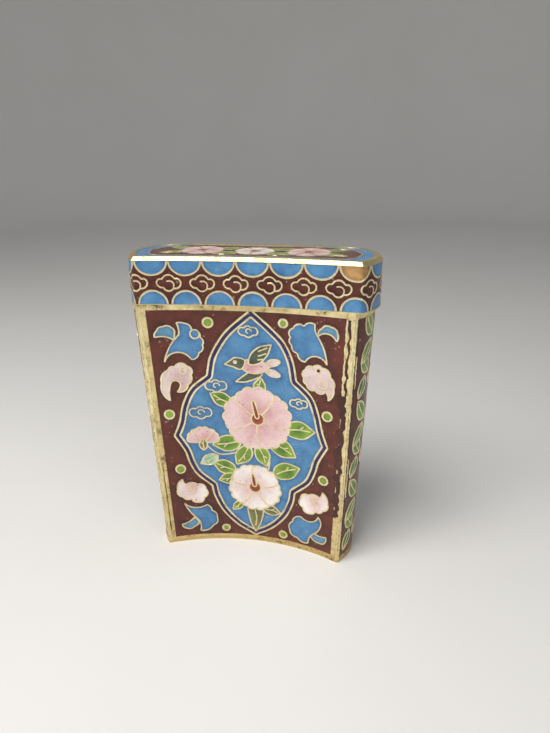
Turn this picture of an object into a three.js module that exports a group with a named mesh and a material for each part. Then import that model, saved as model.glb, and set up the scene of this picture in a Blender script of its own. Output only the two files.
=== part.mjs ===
// Cloisonne enamel box: a tall flask-shaped metal box with a concave front, and a lid that
// slips over a neck ring. Millimetres, +Z up. The origin is the middle of the bounding box
// at its base, the front faces -Y.
import * as THREE from 'three';

// ---- Driving dimensions ----
const HEIGHT = 80;
const LID_HEIGHT = 11.4;
const BASE_THICKNESS = 1.0;
const WALL = 1.6; // sheet metal with its enamel bed
const ENAMEL = 0.6; // thickness of an enamel layer
const SEAT_GAP = 0.3; // clearance behind and around an enamel layer
const STEP = 0.04; // run of the steep edge of an enamel bed
const EDGE_STRIP = 2.0; // bare metal beside each vertical edge of the front
const SIDE_STRIP = 1.2; // bare metal beside each vertical edge of the sides and back
const TOP_STRIP = 1.5; // bare metal under the lid
const BOTTOM_STRIP = 0.7; // bare metal above the base
const LID_RIM = 0.9; // bare metal above and below the lid's enamel band
const LID_BEVEL = 0.8;
const LID_TOP_BORDER = 1.2; // bare metal between the bevel and the enamel of the lid's top
const LID_CEILING = 2.0; // lid's top, metal and enamel together
const NECK_THICKNESS = 0.8;
const NECK_DEPTH = 6.5; // how far the neck ring reaches down into the body
const NECK_RISE = 7.0; // and up into the lid
const LID_SHIFT = 0.6; // the loose lid sits this far to +X of the body

// Plans are measured from the middle of the lid's front chord: half chord of the concave
// front, how deep it curves in, where the chord lies, how far the sides bulge out between the
// front corner and the back shoulder, the shoulder itself, and how far the back dips in.
const LID_PLAN = {
  chord: 26.7, sag: 2.2, front: 0, bulge: 6.5, shoulderX: 21.3, shoulderY: 22.8, dip: 0.5,
};
const BODY_TOP_PLAN = {
  chord: 26.2, sag: 3.2, front: 0.5, bulge: 6.4, shoulderX: 21.0, shoulderY: 22.2, dip: 0.5,
};
const BODY_BASE_PLAN = {
  chord: 23.3, sag: 5.6, front: 1.3, bulge: 5.1, shoulderX: 19.4, shoulderY: 21.0, dip: 0.4,
};
const SHOULDER_RUN = 3; // the shoulders are rounded over this length on each side

// How finely the faces are divided
const FRONT_STEPS = 14;
const SIDE_STEPS = 12;
const BACK_STEPS = 12;
const ARC_STEPS = 48;
const SHOULDER_STEPS = 8;
const LEVEL_STEPS = 6;
const HUB_DEPTH = 0.8; // where the hub of a wide end face lies, from front to back

// ---- Derived dimensions ----
const LID_BASE_Z = HEIGHT - LID_HEIGHT;
const BED = ENAMEL + SEAT_GAP; // depth of an enamel bed

/** Plan of the tapering body at a height. */
function bodyPlan(z) {
  const t = z / LID_BASE_Z;
  const mixed = {};
  for (const key of Object.keys(BODY_BASE_PLAN)) {
    mixed[key] = THREE.MathUtils.lerp(BODY_BASE_PLAN[key], BODY_TOP_PLAN[key], t);
  }
  return mixed;
}

/** Arc from start to end that bulges out to the right of its run, or in where bulge is negative. */
function arc(start, end, bulge) {
  const chord = end.clone().sub(start);
  const radius = (chord.lengthSq() / 4 + bulge ** 2) / (2 * bulge);
  const outward = new THREE.Vector2(chord.y, -chord.x).normalize();
  const centre = start.clone().add(end).multiplyScalar(0.5).addScaledVector(outward, bulge - radius);
  const sweep = 2 * Math.asin(chord.length() / 2 / radius);
  return Array.from({ length: ARC_STEPS + 1 }, (_, i) =>
    start.clone().rotateAround(centre, (sweep * i) / ARC_STEPS),
  );
}

/** The point at a distance along a polyline. */
function pointAlong(points, distance) {
  let left = distance;
  for (let i = 1; i < points.length; i += 1) {
    const length = points[i].distanceTo(points[i - 1]);
    if (left <= length || i === points.length - 1) {
      return points[i - 1].clone().lerp(points[i], left / length);
    }
    left -= length;
  }
  return points[0].clone();
}

function lengthOf(points) {
  return points.slice(1).reduce((sum, p, i) => sum + p.distanceTo(points[i]), 0);
}

/** Evenly spaced points on the stretch of a polyline between two distances. */
function stretch(points, from, to, steps = ARC_STEPS) {
  return Array.from({ length: steps + 1 }, (_, i) =>
    pointAlong(points, THREE.MathUtils.lerp(from, to, i / steps)),
  );
}

/** The four faces of a plan as polylines, running counter-clockwise seen from above. */
function facesOf(plan) {
  const corner = new THREE.Vector2(plan.chord, plan.front);
  const shoulder = new THREE.Vector2(plan.shoulderX, plan.shoulderY);
  const mirror = (points) => points.map((p) => new THREE.Vector2(-p.x, p.y)).reverse();
  const front = arc(mirror([corner])[0], corner, -plan.sag);
  const side = arc(corner, shoulder, plan.bulge);
  const back = arc(shoulder, mirror([shoulder])[0], -plan.dip);
  const sideEnd = lengthOf(side) - SHOULDER_RUN;
  const bend = new THREE.QuadraticBezierCurve(
    pointAlong(side, sideEnd), shoulder, pointAlong(back, SHOULDER_RUN),
  ).getPoints(SHOULDER_STEPS);
  const middle = SHOULDER_STEPS / 2;
  const right = [...stretch(side, 0, sideEnd), ...bend.slice(1, middle + 1)];
  const bendEnd = bend.slice(middle);
  const backRun = stretch(back, SHOULDER_RUN, lengthOf(back) - SHOULDER_RUN);
  const backFace = [...bendEnd, ...backRun.slice(1, -1), ...mirror(bendEnd)];
  return { front, right, back: backFace, left: mirror(right) };
}

const FACE_STEPS = { front: FRONT_STEPS, right: SIDE_STEPS, back: BACK_STEPS, left: SIDE_STEPS };

/**
 * Closed outline of a plan. Each face starts and ends with a bare strip, and the points
 * between the strips are marked as lying in that face's enamel bed.
 */
function outlineOf(plan, stripInset = 0) {
  const points = [];
  const beds = [];
  for (const [name, path] of Object.entries(facesOf(plan))) {
    const strip = (name === 'front' ? EDGE_STRIP : SIDE_STRIP) + stripInset;
    const total = lengthOf(path);
    const steps = FACE_STEPS[name];
    points.push(pointAlong(path, 0), pointAlong(path, strip));
    beds.push(null, null);
    for (let i = 0; i <= steps; i += 1) {
      points.push(pointAlong(path, THREE.MathUtils.lerp(strip + STEP, total - strip - STEP, i / steps)));
      beds.push(name);
    }
    points.push(pointAlong(path, total - strip));
    beds.push(null);
  }
  return { points, beds };
}

/** Moves each point of a closed outline inwards by its own distance, mitred at the corners. */
function inset(points, distanceAt) {
  const count = points.length;
  const normal = (a, b) => new THREE.Vector2(a.y - b.y, b.x - a.x).normalize();
  return points.map((p, i) => {
    const before = normal(points[(i + count - 1) % count], p);
    const after = normal(p, points[(i + 1) % count]);
    const mitre = before.clone().add(after).normalize();
    return p.clone().addScaledVector(mitre, distanceAt(i) / mitre.dot(after));
  });
}

// The lid is the widest piece, so it centres the box.
const MIDDLE_Y = Math.max(...outlineOf(LID_PLAN).points.map((p) => p.y)) / 2;

/** A ring of a lofted solid: an outline at a height, moved in by a distance. */
function ring(outline, z, distance, bedDepth = 0, inBed = (bed) => bed !== null) {
  const moved = inset(outline.points, (i) => distance + (inBed(outline.beds[i]) ? bedDepth : 0));
  return moved.map((p) => new THREE.Vector3(p.x, p.y - MIDDLE_Y, z));
}

/** Fills a wide ring with triangles round one more corner, its hub. */
function fanCap(points) {
  const count = points.length;
  const depths = points.map((p) => p.y);
  const hubY = THREE.MathUtils.lerp(Math.min(...depths), Math.max(...depths), HUB_DEPTH);
  const triangles = Array.from({ length: count }, (_, i) => [i, (i + 1) % count, count]);
  return { triangles, hub: [new THREE.Vector3(0, hubY, points[0].z)] };
}

/** Fills a thin ring with triangles across from its outer to its inner side. */
function stripCap(points) {
  const last = points.length - 1;
  const triangles = [];
  for (let i = 0; i < last / 2 - 1; i += 1) {
    triangles.push([i, i + 1, last - 1 - i], [i, last - 1 - i, last - i]);
  }
  return { triangles, hub: [] };
}

/** Solid through neighbouring rings: closed round on itself, or filled at both ends by a cap. */
function loft(rings, capOf = null) {
  const count = rings[0].length;
  const corners = rings.flat();
  const index = [];
  const pairs = capOf ? rings.length - 1 : rings.length;
  for (let r = 0; r < pairs; r += 1) {
    const low = r * count;
    const high = ((r + 1) % rings.length) * count;
    for (let i = 0; i < count; i += 1) {
      const j = (i + 1) % count;
      index.push(low + i, low + j, high + j, low + i, high + j, high + i);
    }
  }
  if (capOf) {
    for (const [points, first, flip] of [[rings[0], 0, true], [rings.at(-1), pairs * count, false]]) {
      const { triangles, hub } = capOf(points);
      const numbers = triangles.flatMap(([a, b, c]) => (flip ? [a, c, b] : [a, b, c]));
      index.push(...numbers.map((n) => (n === count ? corners.length : first + n)));
      corners.push(...hub);
    }
  }
  const geometry = new THREE.BufferGeometry().setFromPoints(corners);
  geometry.setIndex(index);
  geometry.computeVertexNormals();
  return geometry;
}

/** Evenly spaced heights from low to high. */
function levels(low, high, steps = LEVEL_STEPS) {
  return Array.from({ length: steps + 1 }, (_, i) => THREE.MathUtils.lerp(low, high, i / steps));
}

// ---- Sub-parts ----
const BED_LOW = BASE_THICKNESS + BOTTOM_STRIP;
const BED_HIGH = LID_BASE_Z - TOP_STRIP;

/** Flat plate that closes the body below, with the body's outline. */
function baseGeometry() {
  const rings = [0, BASE_THICKNESS].map((z) => ring(outlineOf(bodyPlan(z)), z, 0));
  return loft(rings, fanCap);
}

/** Open tube of sheet metal with a shallow enamel bed in each of its four faces. */
function bodyGeometry() {
  const bodyRing = (z, distance, bedDepth) => ring(outlineOf(bodyPlan(z)), z, distance, bedDepth);
  const rings = [
    bodyRing(BASE_THICKNESS, 0, 0),
    bodyRing(BED_LOW, 0, 0),
    ...levels(BED_LOW + STEP, BED_HIGH - STEP).map((z) => bodyRing(z, 0, BED)),
    bodyRing(BED_HIGH, 0, 0),
    bodyRing(LID_BASE_Z, 0, 0),
    ...levels(BASE_THICKNESS, LID_BASE_Z).reverse().map((z) => bodyRing(z, WALL, 0)),
  ];
  return loft(rings);
}

/** Enamel layer that fills the bed of one body face, flush with the metal round it. */
function bodyEnamelGeometry(face) {
  const rings = levels(BED_LOW + SEAT_GAP, BED_HIGH - SEAT_GAP).map((z) => {
    const outline = outlineOf(bodyPlan(z), SEAT_GAP);
    const inBed = (p, i) => outline.beds[i] === face;
    const outer = ring(outline, z, 0).filter(inBed);
    const inner = ring(outline, z, ENAMEL).filter(inBed);
    return [...outer, ...inner.reverse()];
  });
  return loft(rings, stripCap);
}

/** Straight ring inside the top of the body, which the lid slips over. */
function neckGeometry() {
  const outline = outlineOf(bodyPlan(LID_BASE_Z - NECK_DEPTH));
  const low = LID_BASE_Z - NECK_DEPTH;
  const high = LID_BASE_Z + NECK_RISE;
  const outer = WALL + SEAT_GAP;
  const inner = outer + NECK_THICKNESS;
  const corners = [[low, outer], [high, outer], [high, inner], [low, inner]];
  return loft(corners.map(([z, distance]) => ring(outline, z, distance)));
}

const BAND_LOW = LID_BASE_Z + LID_RIM;
const BAND_HIGH = HEIGHT - LID_BEVEL - LID_RIM;
const TOP_BED_INSET = LID_BEVEL + LID_TOP_BORDER;

/** Hollow lid: an enamel bed runs round its wall and another lies in its top. */
function lidGeometry() {
  const outline = outlineOf(LID_PLAN);
  const always = () => true;
  const rings = [
    ring(outline, HEIGHT - LID_CEILING, WALL),
    ring(outline, LID_BASE_Z, WALL),
    ring(outline, LID_BASE_Z, 0),
    ring(outline, BAND_LOW, 0),
    ring(outline, BAND_LOW + STEP, 0, BED, always),
    ring(outline, BAND_HIGH - STEP, 0, BED, always),
    ring(outline, BAND_HIGH, 0),
    ring(outline, HEIGHT - LID_BEVEL, 0),
    ring(outline, HEIGHT, LID_BEVEL),
    ring(outline, HEIGHT, TOP_BED_INSET),
    ring(outline, HEIGHT - BED, TOP_BED_INSET + STEP),
  ];
  return loft(rings, fanCap);
}

/** Enamel band round the lid's wall. */
function lidBandGeometry() {
  const outline = outlineOf(LID_PLAN);
  const low = BAND_LOW + SEAT_GAP;
  const high = BAND_HIGH - SEAT_GAP;
  const corners = [[low, 0], [high, 0], [high, ENAMEL], [low, ENAMEL]];
  return loft(corners.map(([z, distance]) => ring(outline, z, distance)));
}

/** Enamel plate in the lid's top. */
function lidTopGeometry() {
  const outline = outlineOf(LID_PLAN);
  const rings = [HEIGHT - ENAMEL, HEIGHT].map((z) => ring(outline, z, TOP_BED_INSET + SEAT_GAP));
  return loft(rings, fanCap);
}

// ---- Materials and assembly ----
const gilt = () => new THREE.MeshStandardMaterial({ color: '#c9a85a', metalness: 1, roughness: 0.32 });
const enamel = (color) => new THREE.MeshStandardMaterial({ color, metalness: 0, roughness: 0.18 });

function addPiece(parent, name, geometry, material) {
  const mesh = new THREE.Mesh(geometry, material);
  mesh.name = name;
  parent.add(mesh);
}

const box = new THREE.Group();

const body = new THREE.Group();
body.position.x = -LID_SHIFT;
addPiece(body, 'base_plate', baseGeometry(), gilt());
addPiece(body, 'body_shell', bodyGeometry(), gilt());
addPiece(body, 'neck_ring', neckGeometry(), gilt());
addPiece(body, 'front_enamel', bodyEnamelGeometry('front'), enamel('#5a2c22'));
addPiece(body, 'right_enamel', bodyEnamelGeometry('right'), enamel('#57301f'));
addPiece(body, 'back_enamel', bodyEnamelGeometry('back'), enamel('#5a2c22'));
addPiece(body, 'left_enamel', bodyEnamelGeometry('left'), enamel('#57301f'));
box.add(body);

const lid = new THREE.Group();
addPiece(lid, 'lid_shell', lidGeometry(), gilt());
addPiece(lid, 'lid_band_enamel', lidBandGeometry(), enamel('#4b8ac0'));
addPiece(lid, 'lid_top_enamel', lidTopGeometry(), enamel('#5a2c22'));
box.add(lid);

export default box;
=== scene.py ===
"""Cloisonne enamel box: gilt sheet metal, wired enamel pictures and a slip-on lid.

Lengths are worked out in millimetres and turned into metres where a mesh is made.
"""
import logging
import math
from dataclasses import dataclass, field
from enum import Enum
from typing import ClassVar

import bpy
import numpy as np
from mathutils import Matrix, Vector
from mathutils.kdtree import KDTree


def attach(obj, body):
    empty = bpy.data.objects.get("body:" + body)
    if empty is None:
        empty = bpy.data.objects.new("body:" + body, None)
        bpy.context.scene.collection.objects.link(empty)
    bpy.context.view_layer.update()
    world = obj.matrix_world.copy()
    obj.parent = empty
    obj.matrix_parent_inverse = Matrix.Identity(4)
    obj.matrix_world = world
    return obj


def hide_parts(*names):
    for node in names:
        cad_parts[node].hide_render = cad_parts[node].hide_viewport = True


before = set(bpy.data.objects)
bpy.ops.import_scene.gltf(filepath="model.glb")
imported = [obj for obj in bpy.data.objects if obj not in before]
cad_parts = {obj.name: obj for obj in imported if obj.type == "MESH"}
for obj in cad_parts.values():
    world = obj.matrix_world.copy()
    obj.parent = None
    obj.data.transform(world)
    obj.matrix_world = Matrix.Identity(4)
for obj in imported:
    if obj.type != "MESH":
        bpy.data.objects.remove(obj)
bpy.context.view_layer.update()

MM = 0.001
LOG = logging.getLogger("cloisonne_box")

Points = np.ndarray
Curve = list[tuple[float, float]]


# ---------------------------------------------------------------- form of the box

HEIGHT = 80.0
LID_HEIGHT = 11.4
LID_BASE = HEIGHT - LID_HEIGHT
BASE_THICKNESS = 1.0
EDGE_STRIP = 2.0
SIDE_STRIP = 1.2
TOP_STRIP = 1.5
BOTTOM_STRIP = 0.7
LID_RIM = 0.9
LID_BEVEL = 0.8
LID_TOP_BORDER = 1.2
LID_SHIFT = 0.5
CORNER_RUN = 0.45
BED_STEP = 0.04
SHOULDER_RUN = 3.0
BED_LOW = BASE_THICKNESS + BOTTOM_STRIP
BED_HIGH = LID_BASE - TOP_STRIP
BED_BAND_LOW = LID_BASE + LID_RIM
BED_BAND_HIGH = HEIGHT - LID_BEVEL - LID_RIM
BAND_LOW = LID_BASE + 0.2
BAND_HIGH = HEIGHT - LID_BEVEL - 0.1


class Face(Enum):
    """The four faces of the box, in the order in which an outline runs round them."""

    FRONT = 0
    RIGHT = 1
    BACK = 2
    LEFT = 3


def lengths_along(path: Points) -> Points:
    """Distance of each point of a path from its start."""
    steps = np.linalg.norm(np.diff(path, axis=0), axis=1)
    return np.concatenate([[0.0], np.cumsum(steps)])


def points_at(path: Points, distances: Points) -> Points:
    """Points of a path at the given distances from its start."""
    run = lengths_along(path)
    return np.column_stack([np.interp(distances, run, path[:, axis]) for axis in range(path.shape[1])])


def bezier(start: Points, bend: Points, end: Points, steps: int) -> Points:
    """Quadratic curve from start to end that is drawn towards bend."""
    t = np.linspace(0.0, 1.0, steps + 1)[:, None]
    return (1 - t) ** 2 * start + 2 * t * (1 - t) * bend + t**2 * end


def arc(start: Points, end: Points, bulge: float, steps: int = 96) -> Points:
    """Arc that bulges out to the right of its run, or in where bulge is negative.

    Args:
        start: First point.
        end: Last point.
        bulge: Greatest distance of the arc from its chord.
        steps: Number of pieces.

    Returns:
        Points along the arc.
    """
    chord = end - start
    length = np.hypot(*chord)
    radius = (length**2 / 4 + bulge**2) / (2 * bulge)
    outward = np.array([chord[1], -chord[0]]) / length
    centre = (start + end) / 2 + outward * (bulge - radius)
    turns = np.linspace(0.0, 2 * math.asin(length / 2 / radius), steps + 1)
    x, y = start - centre
    across = x * np.cos(turns) - y * np.sin(turns)
    along = x * np.sin(turns) + y * np.cos(turns)
    return centre + np.column_stack([across, along])


@dataclass(frozen=True)
class Plan:
    """Outline of the box at one height, measured from the middle of the lid's front chord."""

    chord: float
    sag: float
    front: float
    bulge: float
    shoulder_x: float
    shoulder_y: float
    dip: float

    def mixed(self, other: "Plan", t: float) -> "Plan":
        """Plan a part t of the way from this one to another.

        Args:
            other: The other plan.
            t: Share of the other plan.

        Returns:
            The mixed plan.
        """
        values = {
            name: (1 - t) * getattr(self, name) + t * getattr(other, name)
            for name in self.__dataclass_fields__
        }
        return Plan(**values)

    def faces(self) -> list[Points]:
        """Front, right, back and left as paths, running counter-clockwise seen from above.

        Returns:
            The four paths.
        """
        mirror = np.array([-1.0, 1.0])
        corner = np.array([self.chord, self.front])
        shoulder = np.array([self.shoulder_x, self.shoulder_y])
        front = arc(corner * mirror, corner, -self.sag)
        side = arc(corner, shoulder, self.bulge)
        back = arc(shoulder, shoulder * mirror, -self.dip)
        side_end = lengths_along(side)[-1] - SHOULDER_RUN
        back_end = lengths_along(back)[-1] - SHOULDER_RUN
        side_run = points_at(side, np.linspace(0.0, side_end, 97))
        back_run = points_at(back, np.linspace(SHOULDER_RUN, back_end, 97))
        bend = bezier(side_run[-1], shoulder, back_run[0], 16)
        right = np.vstack([side_run, bend[1:9]])
        left = (right * mirror)[::-1]
        back_face = np.vstack([bend[8:], back_run[1:-1], (bend[8:] * mirror)[::-1]])
        return [front, right, back_face, left]


LID_PLAN = Plan(chord=26.7, sag=2.2, front=0.0, bulge=6.5, shoulder_x=21.3, shoulder_y=22.8, dip=0.5)
BODY_TOP_PLAN = Plan(chord=26.2, sag=3.2, front=0.5, bulge=6.4, shoulder_x=21.0, shoulder_y=22.2, dip=0.5)
BODY_BASE_PLAN = Plan(chord=23.3, sag=5.6, front=1.3, bulge=5.1, shoulder_x=19.4, shoulder_y=21.0, dip=0.4)
MIDDLE_Y = max(float(path[:, 1].max()) for path in LID_PLAN.faces()) / 2


def body_plan(z: float) -> Plan:
    """Plan of the tapering body at a height."""
    return BODY_BASE_PLAN.mixed(BODY_TOP_PLAN, z / LID_BASE)


def strip_of(face: Face) -> float:
    """Width of the bare metal beside the vertical edges of a face."""
    return EDGE_STRIP if face is Face.FRONT else SIDE_STRIP


def outline(plan: Plan, steps: int = 40) -> tuple[Points, Points]:
    """Closed outline with softened corners.

    Args:
        plan: The plan to draw.
        steps: Divisions of each face between its strips.

    Returns:
        The points, and for each one whether it lies in an enamel bed.
    """
    paths = plan.faces()
    points, in_bed = [], []
    for face in Face:
        path = paths[face.value]
        total = lengths_along(path)[-1]
        strip = strip_of(face)
        bed = np.linspace(strip + BED_STEP, total - strip - BED_STEP, steps + 1)
        stations = np.concatenate([[CORNER_RUN, strip / 2 + CORNER_RUN / 2, strip], bed])
        far_edge = [total - strip, total - strip / 2 - CORNER_RUN / 2, total - CORNER_RUN]
        stations = np.concatenate([stations, far_edge])
        points.append(points_at(path, stations))
        in_bed.append((stations > strip) & (stations < total - strip))
        following = paths[(face.value + 1) % 4]
        after = points_at(following, np.array([CORNER_RUN]))[0]
        bend = bezier(points[-1][-1], path[-1], after, 6)[1:-1]
        points.append(bend)
        in_bed.append(np.zeros(len(bend), dtype=bool))
    return np.vstack(points), np.concatenate(in_bed)


def inset(points: Points, distances: Points | float) -> Points:
    """Moves the points of a closed outline inwards, mitred at its corners.

    Args:
        points: Points, one a row.
        distances: How far each point moves in, or one distance for all.

    Returns:
        The moved points.
    """
    before = points - np.roll(points, 1, axis=0)
    after = np.roll(points, -1, axis=0) - points
    normals = [np.column_stack([-edge[:, 1], edge[:, 0]]) / np.hypot(*edge.T)[:, None] for edge in (before,
                                                                                                    after)]
    mitre = normals[0] + normals[1]
    mitre /= np.hypot(*mitre.T)[:, None]
    reach = np.broadcast_to(distances, len(points)) / np.sum(mitre * normals[1], axis=1)
    return points + mitre * reach[:, None]


# ---------------------------------------------------------------- meshes

@dataclass
class MeshParts:
    """Corners and faces that are gathered into one mesh."""

    corners: list[Points] = field(default_factory=list)
    faces: list[list[int]] = field(default_factory=list)
    count: int = 0

    def add(self, corners: Points, faces: list[list[int]]) -> None:
        """Adds corners, and faces numbered from the first of them.

        Args:
            corners: Places of the corners.
            faces: Corner numbers of each face.
        """
        self.corners.append(corners)
        self.faces.extend([[number + self.count for number in face] for face in faces])
        self.count += len(corners)

    def build(self, name: str, offset: tuple[float, float, float]) -> bpy.types.Object:
        """Makes the object, with its corners moved by an offset in millimetres.

        Args:
            name: Name it gets.
            offset: Move of all the corners, in millimetres.

        Returns:
            The object.
        """
        mesh = bpy.data.meshes.new(name)
        corners = (np.vstack(self.corners) + np.array(offset)) * MM
        mesh.from_pydata(corners.tolist(), [], self.faces)
        mesh.update()
        item = bpy.data.objects.new(name, mesh)
        bpy.context.scene.collection.objects.link(item)
        return item


def smooth(item: bpy.types.Object, sharp_degrees: float = 40.0) -> None:
    """Shades an object smooth, apart from its sharp edges."""
    item.data.shade_smooth()
    item.data.set_sharp_from_angle(angle=math.radians(sharp_degrees))


def ring_faces(rings: int, count: int, closed: bool) -> list[list[int]]:
    """Quads between neighbouring rings of corners.

    Args:
        rings: Number of rings.
        count: Corners in a ring.
        closed: Whether the last ring joins the first.

    Returns:
        Corner numbers of each face.
    """
    faces = []
    for ring in range(rings if closed else rings - 1):
        low, high = ring * count, ((ring + 1) % rings) * count
        for i in range(count):
            j = (i + 1) % count
            faces.append([low + i, low + j, high + j, high + i])
    return faces


# ---------------------------------------------------------------- surfaces that carry enamel

class WrapSurface:
    """Upright surface: u runs along the outline from its middle, v is the height."""

    SAMPLES = 1201
    NUDGE = 0.0001
    NORMAL_REACH = 0.12

    def __init__(self, paths: list[Points], heights: Points) -> None:
        """Keeps one path for each height, from the lowest up.

        Args:
            paths: One path for each height.
            heights: Heights of the paths, from the lowest up.
        """
        self.heights = heights
        self.totals = np.array([lengths_along(path)[-1] for path in paths])
        even = np.linspace(0.0, 1.0, self.SAMPLES)
        self.table = np.stack([points_at(path, even * total) for path, total in zip(paths, self.totals)])

    def half(self, v: Points | float) -> Points:
        """Half the length of the outline at a height."""
        return np.interp(v, self.heights, self.totals) / 2

    def _flat(self, u: Points, v: Points) -> Points:
        """Places without lift.

        Args:
            u: Place along u.
            v: Place along v.

        Returns:
            Points in millimetres.
        """
        count = len(self.heights)
        level = np.clip(np.interp(v, self.heights, np.arange(count)), 0, count - 1 - self.NUDGE)
        row = level.astype(int)
        rise = (level - row)[:, None]
        half = self.half(v)
        t = np.clip((u + half) / (2 * half), 0.0, 1.0) * (self.SAMPLES - 1 - self.NUDGE)
        column = t.astype(int)
        run = (t - column)[:, None]
        low = self.table[row, column] * (1 - run) + self.table[row, column + 1] * run
        high = self.table[row + 1, column] * (1 - run) + self.table[row + 1, column + 1] * run
        return np.column_stack([low * (1 - rise) + high * rise, v])

    def normals(self, uv: Points) -> Points:
        """Outward normals at places on the surface.

        Args:
            uv: Places on the surface.

        Returns:
            One unit vector for each place.
        """
        u, v = uv[:, 0], uv[:, 1]
        reach = self.NORMAL_REACH
        along = self._flat(u + reach, v) - self._flat(u - reach, v)
        up = self._flat(u, v + reach) - self._flat(u, v - reach)
        normal = np.cross(along, up)
        return normal / np.linalg.norm(normal, axis=1)[:, None]

    def place(self, uv: Points, lift: Points | float = 0.0) -> Points:
        """Points on the surface, moved out by a lift."""
        lifts = np.broadcast_to(lift, len(uv))[:, None]
        return self._flat(uv[:, 0], uv[:, 1]) + self.normals(uv) * lifts


class FlatSurface:
    """Level surface: u and v are x and y."""

    def __init__(self, z: float) -> None:
        """Keeps the height."""
        self.z = z

    def normals(self, uv: Points) -> Points:
        """Upward normals."""
        return np.tile([0.0, 0.0, 1.0], (len(uv), 1))

    def place(self, uv: Points, lift: Points | float = 0.0) -> Points:
        """Points on the surface, raised by a lift."""
        return np.column_stack([uv, np.broadcast_to(self.z + lift, len(uv))])


Surface = WrapSurface | FlatSurface


# ---------------------------------------------------------------- drawing of motifs

class Enamel(Enum):
    """Enamel colours, each with a light and a deep tone."""

    MAROON = ((0.125, 0.022, 0.010), (0.046, 0.009, 0.005))
    SKY = ((0.085, 0.255, 0.47), (0.026, 0.105, 0.27))
    TURQUOISE = ((0.14, 0.33, 0.46), (0.05, 0.16, 0.28))
    NAVY = ((0.030, 0.022, 0.13), (0.010, 0.008, 0.05))
    PINK = ((0.82, 0.60, 0.60), (0.62, 0.32, 0.33))
    LILAC = ((0.78, 0.65, 0.62), (0.60, 0.43, 0.41))
    WHITE = ((0.90, 0.84, 0.80), (0.74, 0.52, 0.50))
    LEAF = ((0.28, 0.43, 0.05), (0.075, 0.19, 0.022))
    MOSS = ((0.10, 0.24, 0.05), (0.04, 0.12, 0.03))
    BIRD = ((0.115, 0.135, 0.085), (0.035, 0.048, 0.035))
    OLIVE = ((0.27, 0.27, 0.10), (0.10, 0.12, 0.05))
    RUST = ((0.36, 0.075, 0.035), (0.15, 0.022, 0.012))
    MIST = ((0.74, 0.80, 0.72), (0.24, 0.48, 0.28))
    BARE = ((0.50, 0.29, 0.11), (0.20, 0.095, 0.04))


ENAMELS = list(Enamel)


def flowing(points: Curve, sharp: tuple[int, ...] = (), closed: bool = True, step: float = 0.2) -> Points:
    """Smooth line through a few points.

    Args:
        points: Points that the line passes through.
        sharp: Numbers of the points where it turns a corner.
        closed: Whether it returns to its start.
        step: Spacing of the result.

    Returns:
        Evenly spaced points, the first one repeated at the end of a closed line.
    """
    nodes = np.array(points, dtype=float)
    count = len(nodes)
    if closed and not sharp:
        ring = np.vstack([nodes[-1:], nodes, nodes[:2]])
        runs = [ring]
    else:
        stops = sorted(sharp) if closed else [0, *[s for s in sharp if 0 < s < count - 1], count - 1]
        if closed:
            order = [np.arange(a, b + 1) % count for a, b in zip(stops, stops[1:] + [stops[0] + count])]
        else:
            order = [np.arange(a, b + 1) for a, b in zip(stops, stops[1:])]
        runs = []
        for numbers in order:
            run = nodes[numbers]
            runs.append(np.vstack([2 * run[0] - run[1], run, 2 * run[-1] - run[-2]]))
    pieces = []
    t = np.linspace(0.0, 1.0, 13)[:-1, None]
    for run in runs:
        for a, b, c, d in zip(run, run[1:], run[2:], run[3:]):
            pieces.append(0.5 * (2 * b + (c - a) * t + (2 * a - 5 * b + 4 * c - d) * t**2
                                 + (3 * b - a - 3 * c + d) * t**3))
        pieces.append(run[-2][None])
    line = np.vstack(pieces)
    total = lengths_along(line)[-1]
    return points_at(line, np.linspace(0.0, total, max(int(total / step), 4) + 1))


def lobed(points: list[tuple[float, float, float]], step: float = 0.2) -> Points:
    """Closed outline of arcs between corners.

    Args:
        points: Corners, each with the bulge of the arc that follows it as a share of that arc's
            chord: outwards where positive, inwards where negative.
        step: Spacing of the result.

    Returns:
        Evenly spaced points, the first one repeated at the end.
    """
    corners = np.array([(u, v) for u, v, _ in points])
    following = np.roll(corners, -1, axis=0)
    area = np.sum(corners[:, 0] * following[:, 1] - following[:, 0] * corners[:, 1])
    pieces = []
    for start, end, (_, _, bulge) in zip(corners, following, points):
        height = bulge * float(np.hypot(*(end - start))) * (1.0 if area > 0 else -1.0)
        pieces.append(arc(start, end, height, 10)[:-1] if abs(height) > 0.02 else start[None])
    line = np.vstack([*pieces, corners[:1]])
    total = lengths_along(line)[-1]
    return points_at(line, np.linspace(0.0, total, max(int(total / step), 4) + 1))


def curl(radius: float, turns: float) -> Points:
    """Wire that winds in on itself.

    Args:
        radius: Radius, in millimetres.
        turns: Number of turns.

    Returns:
        Points of the wire.
    """
    angle = np.linspace(0.0, turns * 2 * math.pi, 60)
    reach = np.linspace(radius, radius * 0.35, 60)
    return np.column_stack([reach * np.cos(angle), reach * np.sin(angle)])


def drawn_in(line: Points, distance: float) -> Points:
    """Outline that runs at a distance inside another one, which runs anticlockwise.

    Args:
        line: Points of the line.
        distance: How far inside it runs, in millimetres.

    Returns:
        Evenly spaced points.
    """
    inner = inset(line[:-1], distance)
    apart = np.sqrt(((inner[:, None] - line[None, :-1]) ** 2).sum(axis=2)).min(axis=1)
    inner = inner[apart > distance - 0.03]
    inner = np.vstack([inner, inner[:1]])
    total = lengths_along(inner)[-1]
    return points_at(inner, np.linspace(0.0, total, int(total / 0.2) + 1))


def disc(centre: tuple[float, float], radius: float, squash: float = 1.0) -> Points:
    """Round outline.

    Args:
        centre: Middle of the disc.
        radius: Radius, in millimetres.
        squash: Height as a share of the width.

    Returns:
        Points of the outline.
    """
    turns = np.linspace(0.0, 2 * math.pi, 33)
    return np.column_stack([centre[0] + radius * np.cos(turns),
                            centre[1] + radius * squash * np.sin(turns)])


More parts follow.
